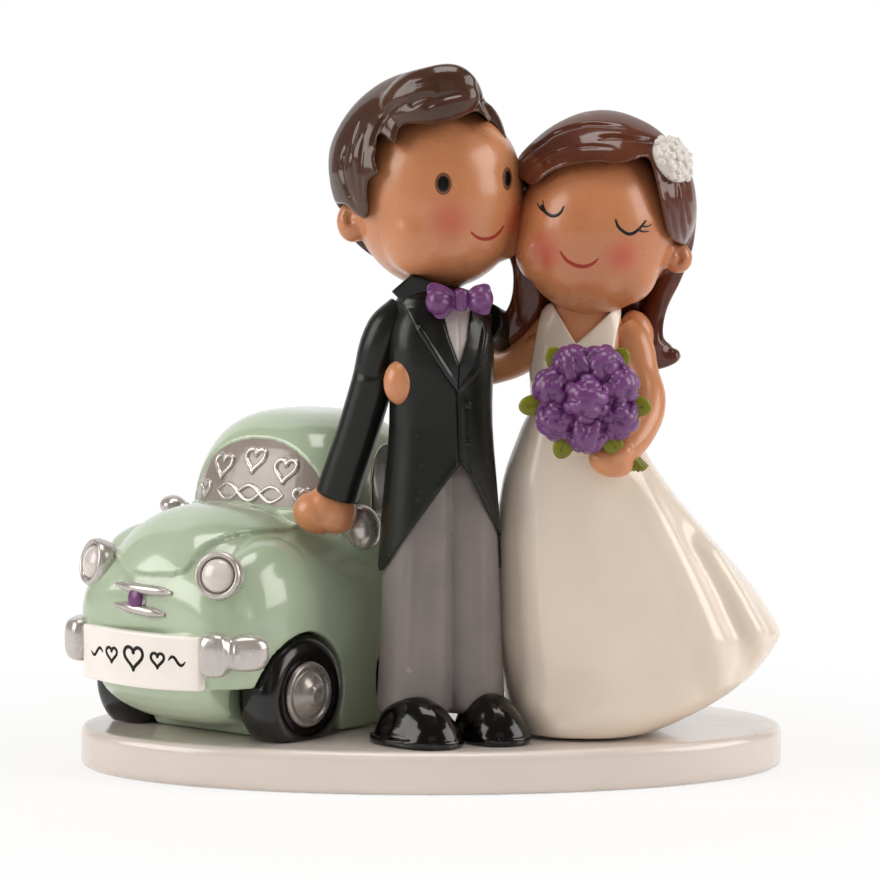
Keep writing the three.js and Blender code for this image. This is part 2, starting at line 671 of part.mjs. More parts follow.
// The badge is a pair of plain bars behind a plain oval
function badgeForm() {
  const bar = (z) => ball({
    width: badge.width, depth: 2 * badge.thickness, height: badge.barHeight, squareness: badge.barSquareness,
  }, 8, 4).translate(0, badge.y, z);
  const oval = ball({ width: badge.ovalWidth, depth: 3 * badge.thickness, height: badge.ovalHeight }, 8, 6)
    .translate(0, badge.y, badge.z);
  const post = new THREE.BoxGeometry(badge.ovalWidth * 0.7, badge.thickness, badge.height - badge.barHeight)
    .translate(0, badge.y, badge.z);
  const lift = (badge.height - badge.barHeight) / 2;
  return [bar(badge.z + lift), bar(badge.z - lift), oval, post];
}
const badgeTrim = place('badge_trim', carFrame, badgeForm(), paints.silver, [carBody]);
place('badge_stone', carFrame, ball({
  width: badge.stoneWidth, depth: 2 * (badge.stoneRise + fit.gap), height: badge.stoneHeight,
}, 10, 6).translate(0, badge.y - badge.thickness * 1.5, badge.z), paints.violet, [badgeTrim]);

// The far mirror stands nearer the nose than the near one
const [nearMirror] = sides.map(([label, side]) => place(
  `door_mirror_${label}`, carFrame,
  ball(mirror, 12, 8).rotateZ(side * mirror.turn)
    .translate(side * mirror.x, cabinY - cabin.length / 2 + (side > 0 ? mirror.behind : mirror.farBehind), mirror.z),
  paints.silver, [carBody],
));

place('rear_bumper', carFrame, bowedBlock(
  rearBumper.width, rearBumper.height, rearBumper.thickness, rearBumper.bow,
  tailY + rearBumper.behind, rearBumper.z, rearBumper.round,
), paints.silver, [carBody]);

// A standing form from rows of shares: height, middle x, middle y, half width, half depth
function standing(rows, size, squareness, around, steps, ripple) {
  const fine = smoothRows(rows, steps);
  const rings = fine.map(([rise, x, y, halfWidth, halfDepth]) => levelRing(
    x * size.width, y * size.depth, (size.floor ?? 0) + rise * size.height,
    halfWidth * size.width, halfDepth * size.depth, squareness, around,
    ripple ? (angle) => ripple(angle, rise) : undefined,
  ));
  return skin(rings);
}

const inFrame = (geometry, group) => {
  topper.updateMatrixWorld(true);
  return geometry.applyMatrix4(group.matrixWorld);
};

// Heads
function groomHeadForm() {
  const skull = ball(groomHead, 18, 12);
  const stub = limb([point(0, 0, -groomHead.height * 0.3), point(-groomNeck.lean, groomNeck.lean, -groomNeck.reach)],
    [groomNeck.radius, groomNeck.radius], 10, 1);
  const ears = [-1, 1].map((side) => ball(groomEar, 8, 6)
    .translate(side * groomEar.out, groomEar.y, groomEar.z));
  return [skull, stub, ...ears];
}

function brideHeadForm() {
  const ears = [-brideEar.farOut, brideEar.out].map((x) => ball(brideEar, 8, 6).translate(x, brideEar.y, brideEar.z));
  return [ball(brideHead, 18, 12), ...ears];
}

const groomHeadPiece = place('groom_head', groomHeadFrame, groomHeadForm(), paints.skin);
const brideHeadPiece = place('bride_head', brideHeadFrame, brideHeadForm(), paints.skin, [groomHeadPiece]);

// Shoes
const shoes = [['right', -1], ['left', 1]].map(([label, side]) => {
  const upper = ball({ ...shoe, depth: shoe.length, height: 2 * shoe.height }, 14, 8);
  const sole = ball({
    width: shoe.width + 2 * shoe.soleReach, depth: shoe.length + 2 * shoe.soleReach,
    height: 4 * shoe.soleHeight, squareness: shoe.squareness,
  }, 14, 6);
  const above = new THREE.BoxGeometry(2 * shoe.width, 2 * shoe.length, shoe.height + fit.overrun)
    .translate(0, 0, (shoe.height + fit.overrun) / 2);
  const low = new THREE.BoxGeometry(2 * shoe.width, 2 * shoe.length, shoe.soleHeight)
    .translate(0, 0, shoe.soleHeight / 2);
  const forms = [solid(upper).intersect(solid(above)), solid(sole).intersect(solid(low))].map((form) => (
    geometryOf(form).rotateZ(shoeTurns[label]).translate(side * shoe.spread, -shoe.forward, 0)));
  return place(`shoe_${label}`, groomFrame, forms, paints.shoeBlack);
});

// Trousers: rows of height, half width and half depth of one leg, and how far it stands off the middle
const legShares = [
  [0.09, 0.53, 0.5, 1.06],
  [0.14, 0.53, 0.51, 1.06],
  [0.3, 0.5, 0.5, 1],
  [0.55, 0.48, 0.49, 0.96],
  [0.8, 0.47, 0.49, 0.84],
  [1, 0.4, 0.42, 0.6],
];

function trousersForm() {
  return [-1, 1].map((side) => skin(smoothRows(legShares, 1).map(([rise, across, deep, apart]) => levelRing(
    side * apart * trousers.spread, 0, rise * trousers.height,
    across * trousers.legWidth, deep * trousers.legDepth, trousers.squareness, 12,
  ))));
}
const trousersPiece = place('trousers', groomFrame, trousersForm(), paints.trouserGrey, shoes);

// Coat: height, middle x, middle y, half width, half depth
const coatShares = [
  [0, 0, 0.02, 0.505, 0.51],
  [0.12, 0, 0.02, 0.495, 0.5],
  [0.38, 0, 0.01, 0.445, 0.45],
  [0.55, 0, 0, 0.405, 0.42],
  [0.7, 0, 0, 0.415, 0.42],
  [0.83, 0, 0, 0.44, 0.42],
  [0.92, 0, 0.01, 0.4, 0.36],
  [0.97, 0, 0.02, 0.3, 0.28],
  [1, 0, 0.02, 0.19, 0.2],
];
const coatBase = () => standing(coatShares, { ...coat, floor: coat.bottom }, coat.squareness, coat.sides, 1);

// The front is cut away below the closure; corners as shares of half the width and of the height
const cutawayShares = [
  [0.09, 0.41], [-0.06, 0.36], [-0.28, 0.27], [-0.55, 0.17], [-0.82, 0.08], [-1.2, 0],
  [-1.2, -0.2], [1.2, -0.2], [1.2, 0.12], [0.86, 0.17], [0.52, 0.24], [0.26, 0.33],
];

function coatForm() {
  const cutaway = outlineOf(cutawayShares.map(([across, up]) => [
    across * coat.width / 2, coat.bottom + up * coat.height]));
  const tool = prismAlongY(cutaway, -coat.depth, -coat.depth / 2 + coat.cutawayDepth);
  const buttons = [coatButton.upperZ, coatButton.lowerZ].map((z) => {
    const disc = ball({ width: 2 * coatButton.radius, depth: 4 * coatButton.rise, height: 2 * coatButton.radius }, 12, 8);
    return disc.translate(coatButton.x, -coat.depth * 0.42, z);
  });
  return [solid(coatBase()).subtract(solid(tool)), ...buttons];
}
const coatPiece = place('tailcoat', groomFrame, coatForm(), paints.coatBlack, [trousersPiece, groomHeadPiece]);

// A thin layer over the coat's chest, inside an outline seen from the front
function chestLayer(outline, thickness) {
  const tool = solid(prismAlongY(outline, -coat.depth, -coat.depth * 0.1));
  return solid(grown(coatBase(), fit.gap + thickness)).intersect(tool).subtract(solid(grown(coatBase(), fit.gap)));
}

const shirtPiece = place('shirt_front', groomFrame, chestLayer(outlineOf([
  [0, shirt.apexZ], [shirt.halfWidth, shirt.topZ], [-shirt.halfWidth, shirt.topZ],
]), shirt.thickness), paints.shirtGrey, [groomHeadPiece]);

// Lapels: one band down each side of the chest, meeting at the closure
const lapelShares = [
  [0, 0], [0.62, 0.42], [0.98, 0.6], [0.8, 0.72], [0.92, 0.86], [0.6, 1],
  [0.4, 1], [0.44, 0.7], [0.26, 0.4], [0, 0.17],
];

function lapelForm() {
  const half = (side) => lapelShares.map(([across, up]) => [
    side * across * lapel.outerHalfWidth, lapel.apexZ + up * (lapel.topZ - lapel.apexZ)]);
  const outline = outlineOf([...half(1), ...half(-1).reverse().slice(1, -1)]);
  return chestLayer(outline, lapel.thickness);
}
const lapelPiece = place('coat_collar', groomFrame, lapelForm(), paints.lapelBlack,
  [groomHeadPiece, shirtPiece, coatPiece]);

// Bow tie: two lobed wings under one knot
const knotPiece = place('bow_tie_knot', groomFrame, ball({ ...knot, squareness: 2.6 }, 10, 6)
  .translate(bowTie.x, knot.y, bowTie.z), paints.violet, [shirtPiece, lapelPiece, coatPiece, groomHeadPiece]);

function bowTieForm() {
  const wings = [-1, 1].map((side) => {
    const wing = ball({ width: bowTie.wingWidth, depth: bowTie.wingDepth, height: bowTie.wingHeight, squareness: 2.5 }, 10, 6);
    const { position } = wing.attributes;
    for (let i = 0; i < position.count; i++) {
      const outward = side * position.getX(i) / (bowTie.wingWidth / 2);
      position.setZ(i, position.getZ(i) * (1 - bowTie.pinch * (1 - outward) / 2));
    }
    return wing.translate(bowTie.x + side * bowTie.spread, bowTie.y, bowTie.z);
  });
  const bridge = ball({ width: 2 * bowTie.spread, depth: bowTie.wingDepth * 0.7, height: bowTie.wingHeight * 0.4 }, 8, 6)
    .translate(bowTie.x, bowTie.y + bowTie.wingDepth * 0.3, bowTie.z);
  return [...wings, bridge];
}
const bowTiePiece = place('bow_tie', groomFrame, bowTieForm(), paints.violet,
  [knotPiece, shirtPiece, lapelPiece, coatPiece, groomHeadPiece]);

// Arms run through places given as shares of the reach from the first to the last, with a bend to each
function armPath(from, to, bends) {
  const reach = from.distanceTo(to);
  return [from, ...bends.map(([along, x, y, z]) => from.clone().lerp(to, along)
    .add(point(x * reach, y * reach, z * reach))), to];
}

const handPlace = carFrame.localToWorld(point(groomHand.x, cabinY - groomHand.ahead, groomHand.z));
const cuffPlace = handPlace.clone().add(point(cuff.across, cuff.back, cuff.up));
const sleevePath = armPath(point(shoulder.x, shoulder.y, shoulder.z), cuffPlace,
  [[0.25, -0.035, 0.01, 0.03], [0.6, -0.02, 0.03, 0.01]]);
const handPiece = place('groom_hand_right', topper, [
  ball({ ...groomHand, width: groomHand.length, depth: groomHand.width }, groomHand.around, 8)
    .rotateY(groomHand.tilt).translate(handPlace.x, handPlace.y, handPlace.z),
  ball({ width: groomHand.length * 0.55, depth: groomHand.width * 0.4, height: groomHand.height * 0.42 }, 8, 6)
    .rotateY(groomHand.thumbTilt)
    .translate(handPlace.x + groomHand.length * 0.3, handPlace.y - groomHand.width * 0.4, handPlace.z),
], paints.skin, [carBody, nearMirror]);
const rightSleeve = place('sleeve_right', topper,
  limb(sleevePath, [sleeve.radius * 0.75, sleeve.radius, sleeve.radius, sleeve.radius, sleeve.cuffRadius], 10, 6),
  paints.coatBlack, [coatPiece, handPiece, lapelPiece, groomHeadPiece, carBody, nearMirror]);

// Bride's trunk: height, middle x, middle y, half width, half depth
const chestShares = [
  [0, -0.03, -0.02, 0.4, 0.47],
  [0.2, -0.02, -0.02, 0.45, 0.51],
  [0.41, -0.01, -0.01, 0.49, 0.51],
  [0.6, 0, 0.01, 0.5, 0.48],
  [0.74, 0.01, 0.02, 0.46, 0.43],
  [0.86, 0.02, 0.03, 0.38, 0.38],
  [1, 0.03, 0.04, 0.26, 0.33],
];
const chestPiece = place('bride_torso', topper, [
  standing(chestShares, chest, chest.squareness, 14, 1).translate(chest.x, chest.y, 0),
  ball(shoulders, 12, 8).translate(shoulders.x, shoulders.y, shoulders.z),
], paints.skin, [brideHeadPiece]);

// Bodice: height, middle x, middle y, half width, half depth
const bodiceShares = [
  [0, 0, 0, 0.5, 0.5],
  [0.18, 0, 0, 0.48, 0.49],
  [0.37, 0.005, -0.01, 0.5, 0.52],
  [0.52, 0.01, 0, 0.52, 0.5],
  [0.68, 0.02, 0.035, 0.535, 0.46],
  [0.81, 0.035, 0.055, 0.5, 0.42],
  [0.92, 0.045, 0.06, 0.44, 0.38],
  [1, 0.05, 0.07, 0.36, 0.33],
];

// Its neckline is a deep V, and its straps run in from the arms to the neck
function bodiceForm() {
  const form = solid(standing(bodiceShares, bodice, bodice.squareness, 16, 1).translate(bodice.x, bodice.y, 0));
  const top = bodice.floor + bodice.height + fit.overrun;
  const depth = [bodice.y - bodice.depth, bodice.y + bodice.depth];
  const vee = prismAlongY(outlineOf([
    [bodice.x, bodice.floor + bodice.vRise], [bodice.x + bodice.vWidth / 2, top], [bodice.x - bodice.vWidth / 2, top],
  ]), ...depth);
  const outer = [-1, 1].map((side) => {
    const edge = bodice.x + side * (bodice.width / 2 + fit.overrun);
    const foot = bodice.x + side * bodice.width * 0.52;
    const strap = bodice.x + side * bodice.strapSpan / 2;
    return prismAlongY(outlineOf([
      [edge, bodice.floor + bodice.strapFoot], [foot, bodice.floor + bodice.strapFoot],
      [strap, bodice.floor + bodice.height * 0.9], [strap, top], [edge, top],
    ]), ...depth);
  });
  return [vee, ...outer].reduce((whole, tool) => whole.subtract(solid(tool)), form);
}
const bodicePiece = place('bodice', topper, bodiceForm(), paints.ivory, [chestPiece, brideHeadPiece]);

// Skirt: height, middle x, middle y, half width, half depth, measured from its left and front edges
const skirtShares = [
  [0, 0.3, 0.42, 0.27, 0.4],
  [0.07, 0.39, 0.45, 0.36, 0.45],
  [0.16, 0.47, 0.48, 0.445, 0.47],
  [0.29, 0.5, 0.49, 0.5, 0.48],
  [0.42, 0.465, 0.47, 0.465, 0.45],
  [0.6, 0.375, 0.43, 0.365, 0.37],
  [0.8, 0.3, 0.4, 0.26, 0.27],
  [0.93, 0.275, 0.38, 0.19, 0.19],
  [1, 0.275, 0.37, 0.165, 0.165],
];

// Folds run down it, deep at her left side and fading away round the rest
function skirtForm() {
  const nearSide = (angle) => 0.15 + 0.85 * Math.max(0, Math.cos(angle - skirt.foldSide)) ** 2;
  const ripple = (angle, rise) => (
    skirt.foldDepth * Math.max(0, 1 - rise) * nearSide(angle) * Math.cos(skirt.folds * (angle - skirt.foldSide)));
  return standing(skirtShares, skirt, skirt.squareness, skirt.sides, 1, ripple).translate(skirt.left, skirt.front, ground);
}
const skirtPiece = place('skirt', topper, skirtForm(), paints.ivory, [trousersPiece, coatPiece, ...shoes, chestPiece, bodicePiece]);

// Bouquet, in a frame that leans back towards the bride
const bouquetFrame = new THREE.Group();
bouquetFrame.position.set(bouquet.x, bouquet.y, bouquet.z);
bouquetFrame.rotation.set(bouquet.tilt, 0, 0);
topper.add(bouquetFrame);

// Leaves stand round a heart that carries the blooms, and the stems run from it to their cut ends
function greeneryForms() {
  const heart = ball({ width: 2 * stem.heartRadius, depth: 1.4 * stem.heartRadius, height: 2 * stem.heartRadius }, 10, 6)
    .translate(0, stem.heartBack, 0);
  const leaves = [];
  for (let i = 0; i < leaf.count; i++) {
    const angle = (i + 0.5) / leaf.count * Math.PI * 2;
    leaves.push(ball({ width: leaf.length, depth: leaf.thickness, height: leaf.width }, 8, 4)
      .rotateZ(degrees(-16)).translate(leaf.radius - leaf.length / 3, leaf.back, 0).rotateY(angle));
  }
  const bundle = limb([
    point(0, stem.heartBack, 0),
    point(stem.length * 0.3, stem.heartBack, -stem.length * 0.36),
    point(stem.length * 0.63, stem.heartBack, -stem.length * 0.74),
  ], [stem.radius * 1.6, stem.radius, stem.endRadius], 7, 3);
  return [heart, bundle, ...leaves];
}
const greenery = place('bouquet_greenery', bouquetFrame, greeneryForms(), paints.leafGreen, [bodicePiece, skirtPiece, chestPiece]);

const bloomPlaces = [point(0, -bouquet.ringBack, 0)];
for (let i = 0; i < bouquet.blooms; i++) {
  const angle = (i + 0.25) / bouquet.blooms * Math.PI * 2;
  bloomPlaces.push(point(Math.cos(angle) * bouquet.ringRadius, 0, Math.sin(angle) * bouquet.ringRadius));
}
const bloomPieces = [];
bloomPlaces.forEach((middle, i) => {
  const bloom = ball({ width: 2 * bouquet.bloomRadius, depth: 2 * bouquet.bloomRadius, height: 2 * bouquet.bloomRadius }, 10, 6)
    .translate(middle.x, middle.y, middle.z);
  bloomPieces.push(place(`bloom_${i + 1}`, bouquetFrame, bloom, paints.violet, [greenery, ...bloomPieces, bodicePiece, chestPiece]));
});

// Bride's arms, each with its hand
const elbowBend = [[0.3, 0.06, 0, 0.05], [0.6, 0.17, 0.02, -0.02]];

function brideNearArm() {
  const path = armPath(point(brideShoulder.x, brideShoulder.y, brideShoulder.z),
    point(brideHand.x + brideHand.length / 3, brideHand.y, brideHand.z), elbowBend);
  const hand = ball({ width: brideHand.length, depth: brideHand.width, height: brideHand.height, squareness: 2.2 }, 12, 8)
    .rotateY(degrees(12)).translate(brideHand.x, brideHand.y, brideHand.z);
  return [limb(path, [brideArm.radius, brideArm.radius, brideArm.radius, brideArm.wristRadius], 8, 7), hand];
}
const nearArm = place('bride_arm_left', topper, brideNearArm(), paints.skin,
  [chestPiece, bodicePiece, skirtPiece, greenery, ...bloomPieces]);

// Her other arm reaches round behind the groom and shows its hand on his far side
function brideFarArm() {
  const end = point(shoulder.x, shoulder.y, shoulder.z).lerp(cuffPlace, brideFarHand.alongShare)
    .add(point(brideFarHand.across, brideFarHand.back, 0));
  const path = armPath(point(brideFarShoulder.x, brideFarShoulder.y, brideFarShoulder.z), end,
    [[0.3, 0, 0.2, -0.02], [0.72, 0, 0.36, 0]]);
  const hand = ball({ width: brideFarHand.length, depth: brideFarHand.width, height: brideFarHand.height, squareness: 2.2 }, 12, 8)
    .translate(end.x, end.y, end.z);
  return [limb(path, [brideArm.radius, brideArm.radius, brideArm.radius, brideArm.wristRadius * 0.8], 8, 7), hand];
}
const farArm = place('bride_arm_right', topper, brideFarArm(), paints.skin,
  [chestPiece, bodicePiece, coatPiece, rightSleeve, trousersPiece, lapelPiece]);

// The groom's other arm lies across the bride's back to her shoulder
const farHand = place('groom_hand_left', topper, ball({
  width: groomFarHand.length, depth: groomFarHand.width, height: groomFarHand.height, squareness: 2.2,
}, 14, 10).translate(groomFarHand.x, groomFarHand.y, groomFarHand.z), paints.skin, [nearArm, chestPiece, bodicePiece, brideHeadPiece]);
const farSleevePath = armPath(point(farShoulder.x, farShoulder.y, farShoulder.z),
  point(groomFarHand.x, groomFarHand.y + groomFarHand.width * 0.3, groomFarHand.z), [[0.25, 0, 0.2, 0], [0.7, 0, 0.2, 0]]);
const leftSleeve = place('sleeve_left', topper,
  limb(farSleevePath, [sleeve.radius, sleeve.radius, sleeve.radius, sleeve.radius * 0.9], 8, 6),
  paints.coatBlack, [coatPiece, lapelPiece, farHand, nearArm, farArm, chestPiece, bodicePiece, groomHeadPiece, brideHeadPiece]);

// Hair
// A prism seen from the front, from corners in halves of a head's width and height off its middle
function frontPrism(head, corners, y, fromY, toY) {
  const outline = outlineOf(corners.map(([across, up]) => [across * head.width / 2, up * head.height / 2]));
  return solid(prismAlongY(outline, fromY, toY).rotateX(frontView).translate(head.x, head.y + y, head.z));
}

// A full head of hair: one cap and its locks, trimmed to its outline and opened at the face
function hairOver(head, hair, locks, outlineShares, faceShares) {
  const cap = ball(hair, 20, 12).translate(head.x + hair.offsetX, head.y + hair.offsetY, head.z + hair.offsetZ);
  const reach = 2 * hair.depth;
  return joined(solid(cap), ...locks.map(solid))
    .intersect(frontPrism(head, outlineShares, 0, -reach, reach))
    .subtract(frontPrism(head, faceShares, hair.faceFrontY, -reach, hair.faceBackY - hair.faceFrontY));
}

// A lock along places in shares of a head's size from its middle
const lockOf = (head, path, radii, around, steps) => limb(path.map(([x, y, z]) => point(
  head.x + x * head.width, head.y + y * head.depth, head.z + z * head.height)), radii, around, steps);

const groomOutlineShares = [
  [-1.05, -0.2], [-1.24, 0.08], [-1.27, 0.39], [-1.22, 0.61], [-1.05, 0.89], [-0.83, 1.09], [-0.55, 1.26], [-0.22, 1.34],
  [0.1, 1.41], [0.28, 1.38], [0.44, 1.27], [0.54, 1.04], [0.64, 0.95], [0.75, 0.79], [0.81, 0.58], [0.85, 0.27],
  [0.73, -0.42], [0.49, -0.66], [0.03, -0.77], [-0.43, -0.81], [-0.83, -0.68], [-1, -0.51], [-1.06, -0.35],
];
const groomFaceShares = [
  [-1.5, -0.05], [-1.05, -0.04], [-0.81, -0.23], [-0.8, 0.21], [-0.65, 0.26], [-0.72, 0.4], [-0.66, 0.71], [-0.47, 0.54],
  [-0.41, 0.77], [-0.01, 0.77], [0.24, 0.84], [0.42, 0.93], [0.5, 1.03], [0.69, 0.81], [0.85, 0.43], [1.4, 0.3],
  [1.4, -1.4], [-1.5, -1.4],
];
const upperRollShares = [[-0.22, -0.29, 0.45], [-0.13, -0.37, 0.53], [0.02, -0.42, 0.59], [0.14, -0.43, 0.59], [0.21, -0.42, 0.57]];
const lowerRollShares = [[-0.21, -0.39, 0.41], [-0.07, -0.46, 0.47], [0.07, -0.49, 0.5], [0.17, -0.47, 0.54], [0.23, -0.45, 0.55]];
const sideLockShares = [[-0.3, -0.32, 0.43], [-0.37, -0.31, 0.31], [-0.43, -0.27, 0.16], [-0.44, -0.22, 0.03], [-0.41, -0.19, -0.09]];

// A roll thins towards both its ends
const rollRadii = (radius) => [radius * 0.72, radius, radius, radius * 0.85, radius * 0.55];

function groomHairForm() {
  const locks = [[upperRollShares, rolls.upperRadius], [lowerRollShares, rolls.lowerRadius], [sideLockShares, rolls.sideRadius]];
  return hairOver(groomHead, groomHair, locks.map(([path, radius]) => lockOf(groomHead, path, rollRadii(radius), 10, 8)),
    groomOutlineShares, groomFaceShares);
}
const groomHairPiece = place('groom_hair', topper, groomHairForm(), paints.brownHair,
  [groomHeadPiece, brideHeadPiece, coatPiece, lapelPiece]);

// The bride's hair falls in one curtain down her back, with a lock in front of each shoulder
const curtainShares = [
  [0, 0.08, 0, 0.34, 0.3],
  [0.12, 0.06, 0, 0.44, 0.42],
  [0.4, 0.02, 0, 0.5, 0.5],
  [0.75, 0, -0.1, 0.5, 0.5],
  [1, 0, -0.3, 0.42, 0.5],
];
const brideOutlineShares = [
  [-0.98, 0.53], [-1.03, 0.72], [-0.91, 0.88], [-0.65, 1.08], [-0.22, 1.29], [0.15, 1.33], [0.53, 1.23], [0.89, 1.03],
  [1.12, 0.78], [1.24, 0.54], [1.29, 0.22], [1.24, -0.27], [1.09, -0.62], [0.88, -1.02], [0.85, -1.26], [1.1, -1.43],
  [1.08, -1.54], [0.71, -1.65], [0.06, -1.43], [-0.44, -1.41], [-0.95, -1.46], [-1.36, -1.43], [-1.35, -1.08],
  [-1.19, -1.06], [-1.05, -0.85], [-1.03, -0.51], [-1.12, -0.3], [-1.14, -0.1], [-1.11, 0.3],
];
const brideFaceShares = [
  [-1.4, 0.54], [-0.97, 0.59], [-0.85, 0.5], [-0.56, 0.67], [-0.3, 0.75], [-0.03, 0.77], [0.26, 0.75], [0.48, 0.8],
  [0.62, 0.84], [0.73, 0.5], [0.86, -0.06], [1.02, -0.16], [1.27, -0.2], [1.17, -0.48], [0.85, -0.73], [0.72, -1.11],
  [-1.4, -1.11],
];
const nearLockShares = [
  [0.53, 0.07, 0.21], [0.57, 0.24, -0.14], [0.49, 0.27, -0.36], [0.42, 0.27, -0.56], [0.39, 0.24, -0.72],
  [0.47, 0.21, -0.76], [0.54, 0.18, -0.75],
];
const farLockShares = [[-0.45, 0.18, -0.08], [-0.44, 0.18, -0.31], [-0.49, 0.18, -0.49], [-0.6, 0.21, -0.62]];

function brideHairForm() {
  const thick = brideHair.lockRadius;
  const size = { ...curtain, height: curtain.topZ - curtain.tipZ, floor: curtain.tipZ };
  const fall = standing(curtainShares, size, curtain.squareness, 16, 1).translate(curtain.x, curtain.y, 0);
  const locks = [
    lockOf(brideHead, nearLockShares, [thick, thick, thick, thick, thick, thick * 0.7, thick * 0.4], 8, 10),
    lockOf(brideHead, farLockShares, [thick * 0.9, thick, thick, thick * 0.8], 8, 6),
  ];
  const cheek = ball({
    width: groomHead.width + 2 * brideHair.cheekGap,
    depth: groomHead.depth + 2 * brideHair.cheekGap,
    height: groomHead.height + 2 * brideHair.cheekGap,
    squareness: groomHead.squareness,
  }, 12, 8).applyMatrix4(groomHeadFrame.matrixWorld);
  return hairOver(brideHead, brideHair, [fall, ...locks], brideOutlineShares, brideFaceShares).subtract(solid(cheek));
}
const brideHairPiece = place('bride_hair', topper, brideHairForm(), paints.chestnutHair, [
  brideHeadPiece, groomHeadPiece, groomHairPiece, chestPiece, bodicePiece, nearArm, farArm, farHand, leftSleeve, coatPiece, skirtPiece,
]);

// Pearl flowers on the side of her hair
function flowerOutline() {
  const outline = new THREE.Shape();
  const petals = 5;
  for (let i = 0; i < petals; i++) {
    const angle = i / petals * Math.PI * 2;
    const reach = clip.flowerRadius - clip.petalRadius;
    outline.absarc(Math.cos(angle) * reach, Math.sin(angle) * reach, clip.petalRadius,
      angle - Math.PI * 0.4, angle + Math.PI * 0.4, false);
  }
  return outline;
}

const flowerShares = [[0, 0], [-1, 0.1], [0.9, 0.3], [0.1, 1], [0.3, -0.9]];

function clipForms() {
  return flowerShares.map(([across, up], i) => new THREE.ExtrudeGeometry(flowerOutline(), {
    depth: clip.thickness, bevelEnabled: false, curveSegments: 2,
  }).rotateX(Math.PI / 2).rotateY(i).translate(across * clip.spacing, 0, up * clip.spacing)
    .rotateX(-clip.rise).rotateZ(clip.turn).translate(clip.x, clip.y, clip.z));
}
place('hair_clip', topper, clipForms(), paints.pearl, [brideHairPiece]);

export default topper;
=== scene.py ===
from math import radians, sin, cos, pi, copysign
import bpy
import numpy as np
from mathutils import Matrix, Vector
from mathutils.bvhtree import BVHTree


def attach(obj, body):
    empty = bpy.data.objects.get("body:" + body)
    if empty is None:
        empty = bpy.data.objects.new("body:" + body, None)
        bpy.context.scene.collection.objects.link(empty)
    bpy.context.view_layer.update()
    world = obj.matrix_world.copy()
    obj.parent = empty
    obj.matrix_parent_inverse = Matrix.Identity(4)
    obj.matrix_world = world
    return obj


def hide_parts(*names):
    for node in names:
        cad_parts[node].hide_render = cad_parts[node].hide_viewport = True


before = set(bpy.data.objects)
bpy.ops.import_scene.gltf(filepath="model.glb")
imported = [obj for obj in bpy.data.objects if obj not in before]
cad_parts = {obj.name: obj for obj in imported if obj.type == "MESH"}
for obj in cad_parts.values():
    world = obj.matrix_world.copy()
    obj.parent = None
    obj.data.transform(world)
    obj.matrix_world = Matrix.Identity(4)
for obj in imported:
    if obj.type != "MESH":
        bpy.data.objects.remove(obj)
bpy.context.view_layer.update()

mm = 0.001
sides = ((1, "left"), (-1, "right"))
print("frame loaded:", len(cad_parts), "nodes")

# the photograph's camera: its place in mm, its pitch in degrees, and its scale and middle in pixels
photoView = {"eye": Vector((2.0, -1100.0, 183.8)), "pitch": 5.68, "pixelsPerUnit": 4865.0, "middle": 440.0}


def photoRay(u, v):
    across = (u - photoView["middle"]) / photoView["pixelsPerUnit"]
    up = (photoView["middle"] - v) / photoView["pixelsPerUnit"]
    pitch = radians(photoView["pitch"])
    return Vector((across, cos(pitch) + up * sin(pitch), -sin(pitch) + up * cos(pitch)))


def spot(u, v, y):
    # the place in mm that shows at a pixel, at the depth y
    ray = photoRay(u, v)
    return photoView["eye"] + ray * ((y - photoView["eye"].y) / ray.y)


def turned(x, y, z, turn=0, lean=0):
    return (Matrix.Translation(Vector((x, y, z)) * mm)
            @ Matrix.Rotation(radians(lean), 4, "Y") @ Matrix.Rotation(radians(turn), 4, "Z"))


carPlace = turned(-48.2, -8, 9.9, turn=-40)
groomPlace = turned(2.2, -20.4, 9.9, turn=20)
groomHeadPlace = turned(1.4, -13.6, 130.6, turn=34, lean=-7)
brideHeadPlace = turned(36.8, -14.6, 123.6, turn=-5, lean=13)


def clear():
    if bpy.context.object and bpy.context.object.mode != "OBJECT":
        bpy.ops.object.mode_set(mode="OBJECT")
    bpy.ops.object.select_all(action="DESELECT")


def only(*pieces):
    clear()
    for piece in pieces:
        piece.select_set(True)
    bpy.context.view_layer.objects.active = pieces[0]


def settled(piece):
    only(piece)
    bpy.ops.object.transform_apply(location=True, rotation=True, scale=True)
    return piece


def moved(piece, place=(0, 0, 0), turn=(0, 0, 0)):
    piece.rotation_euler = [radians(angle) for angle in turn]
    piece.location = Vector(place) * mm
    return settled(piece)


def aimed(piece, place, aim):
    piece.rotation_euler = aim.to_euler()
    piece.location = place
    return settled(piece)


def putIn(piece, place):
    piece.matrix_world = place @ piece.matrix_world
    return settled(piece)


def finishWith(piece, kind, **settings):
    only(piece)
    step = piece.modifiers.new(kind.title(), kind)
    for key, value in settings.items():
        setattr(step, key, value)
    bpy.ops.object.modifier_apply(modifier=step.name)
    return piece


def edited(piece, step):
    # a step of edit mode, done with the whole piece selected
    only(piece)
    bpy.ops.object.mode_set(mode="EDIT")
    bpy.ops.mesh.select_all(action="SELECT")
    step()
    bpy.ops.object.mode_set(mode="OBJECT")
    return piece


def faceOut():
    bpy.ops.mesh.normals_make_consistent(inside=False)


def ball(place, size, around=32, turn=(0, 0, 0)):
    clear()
    bpy.ops.mesh.primitive_uv_sphere_add(
        segments=around, ring_count=around // 2, radius=0.5 * mm, location=Vector(place) * mm,
        rotation=[radians(angle) for angle in turn])
    bpy.context.object.scale = size
    return settled(bpy.context.object)


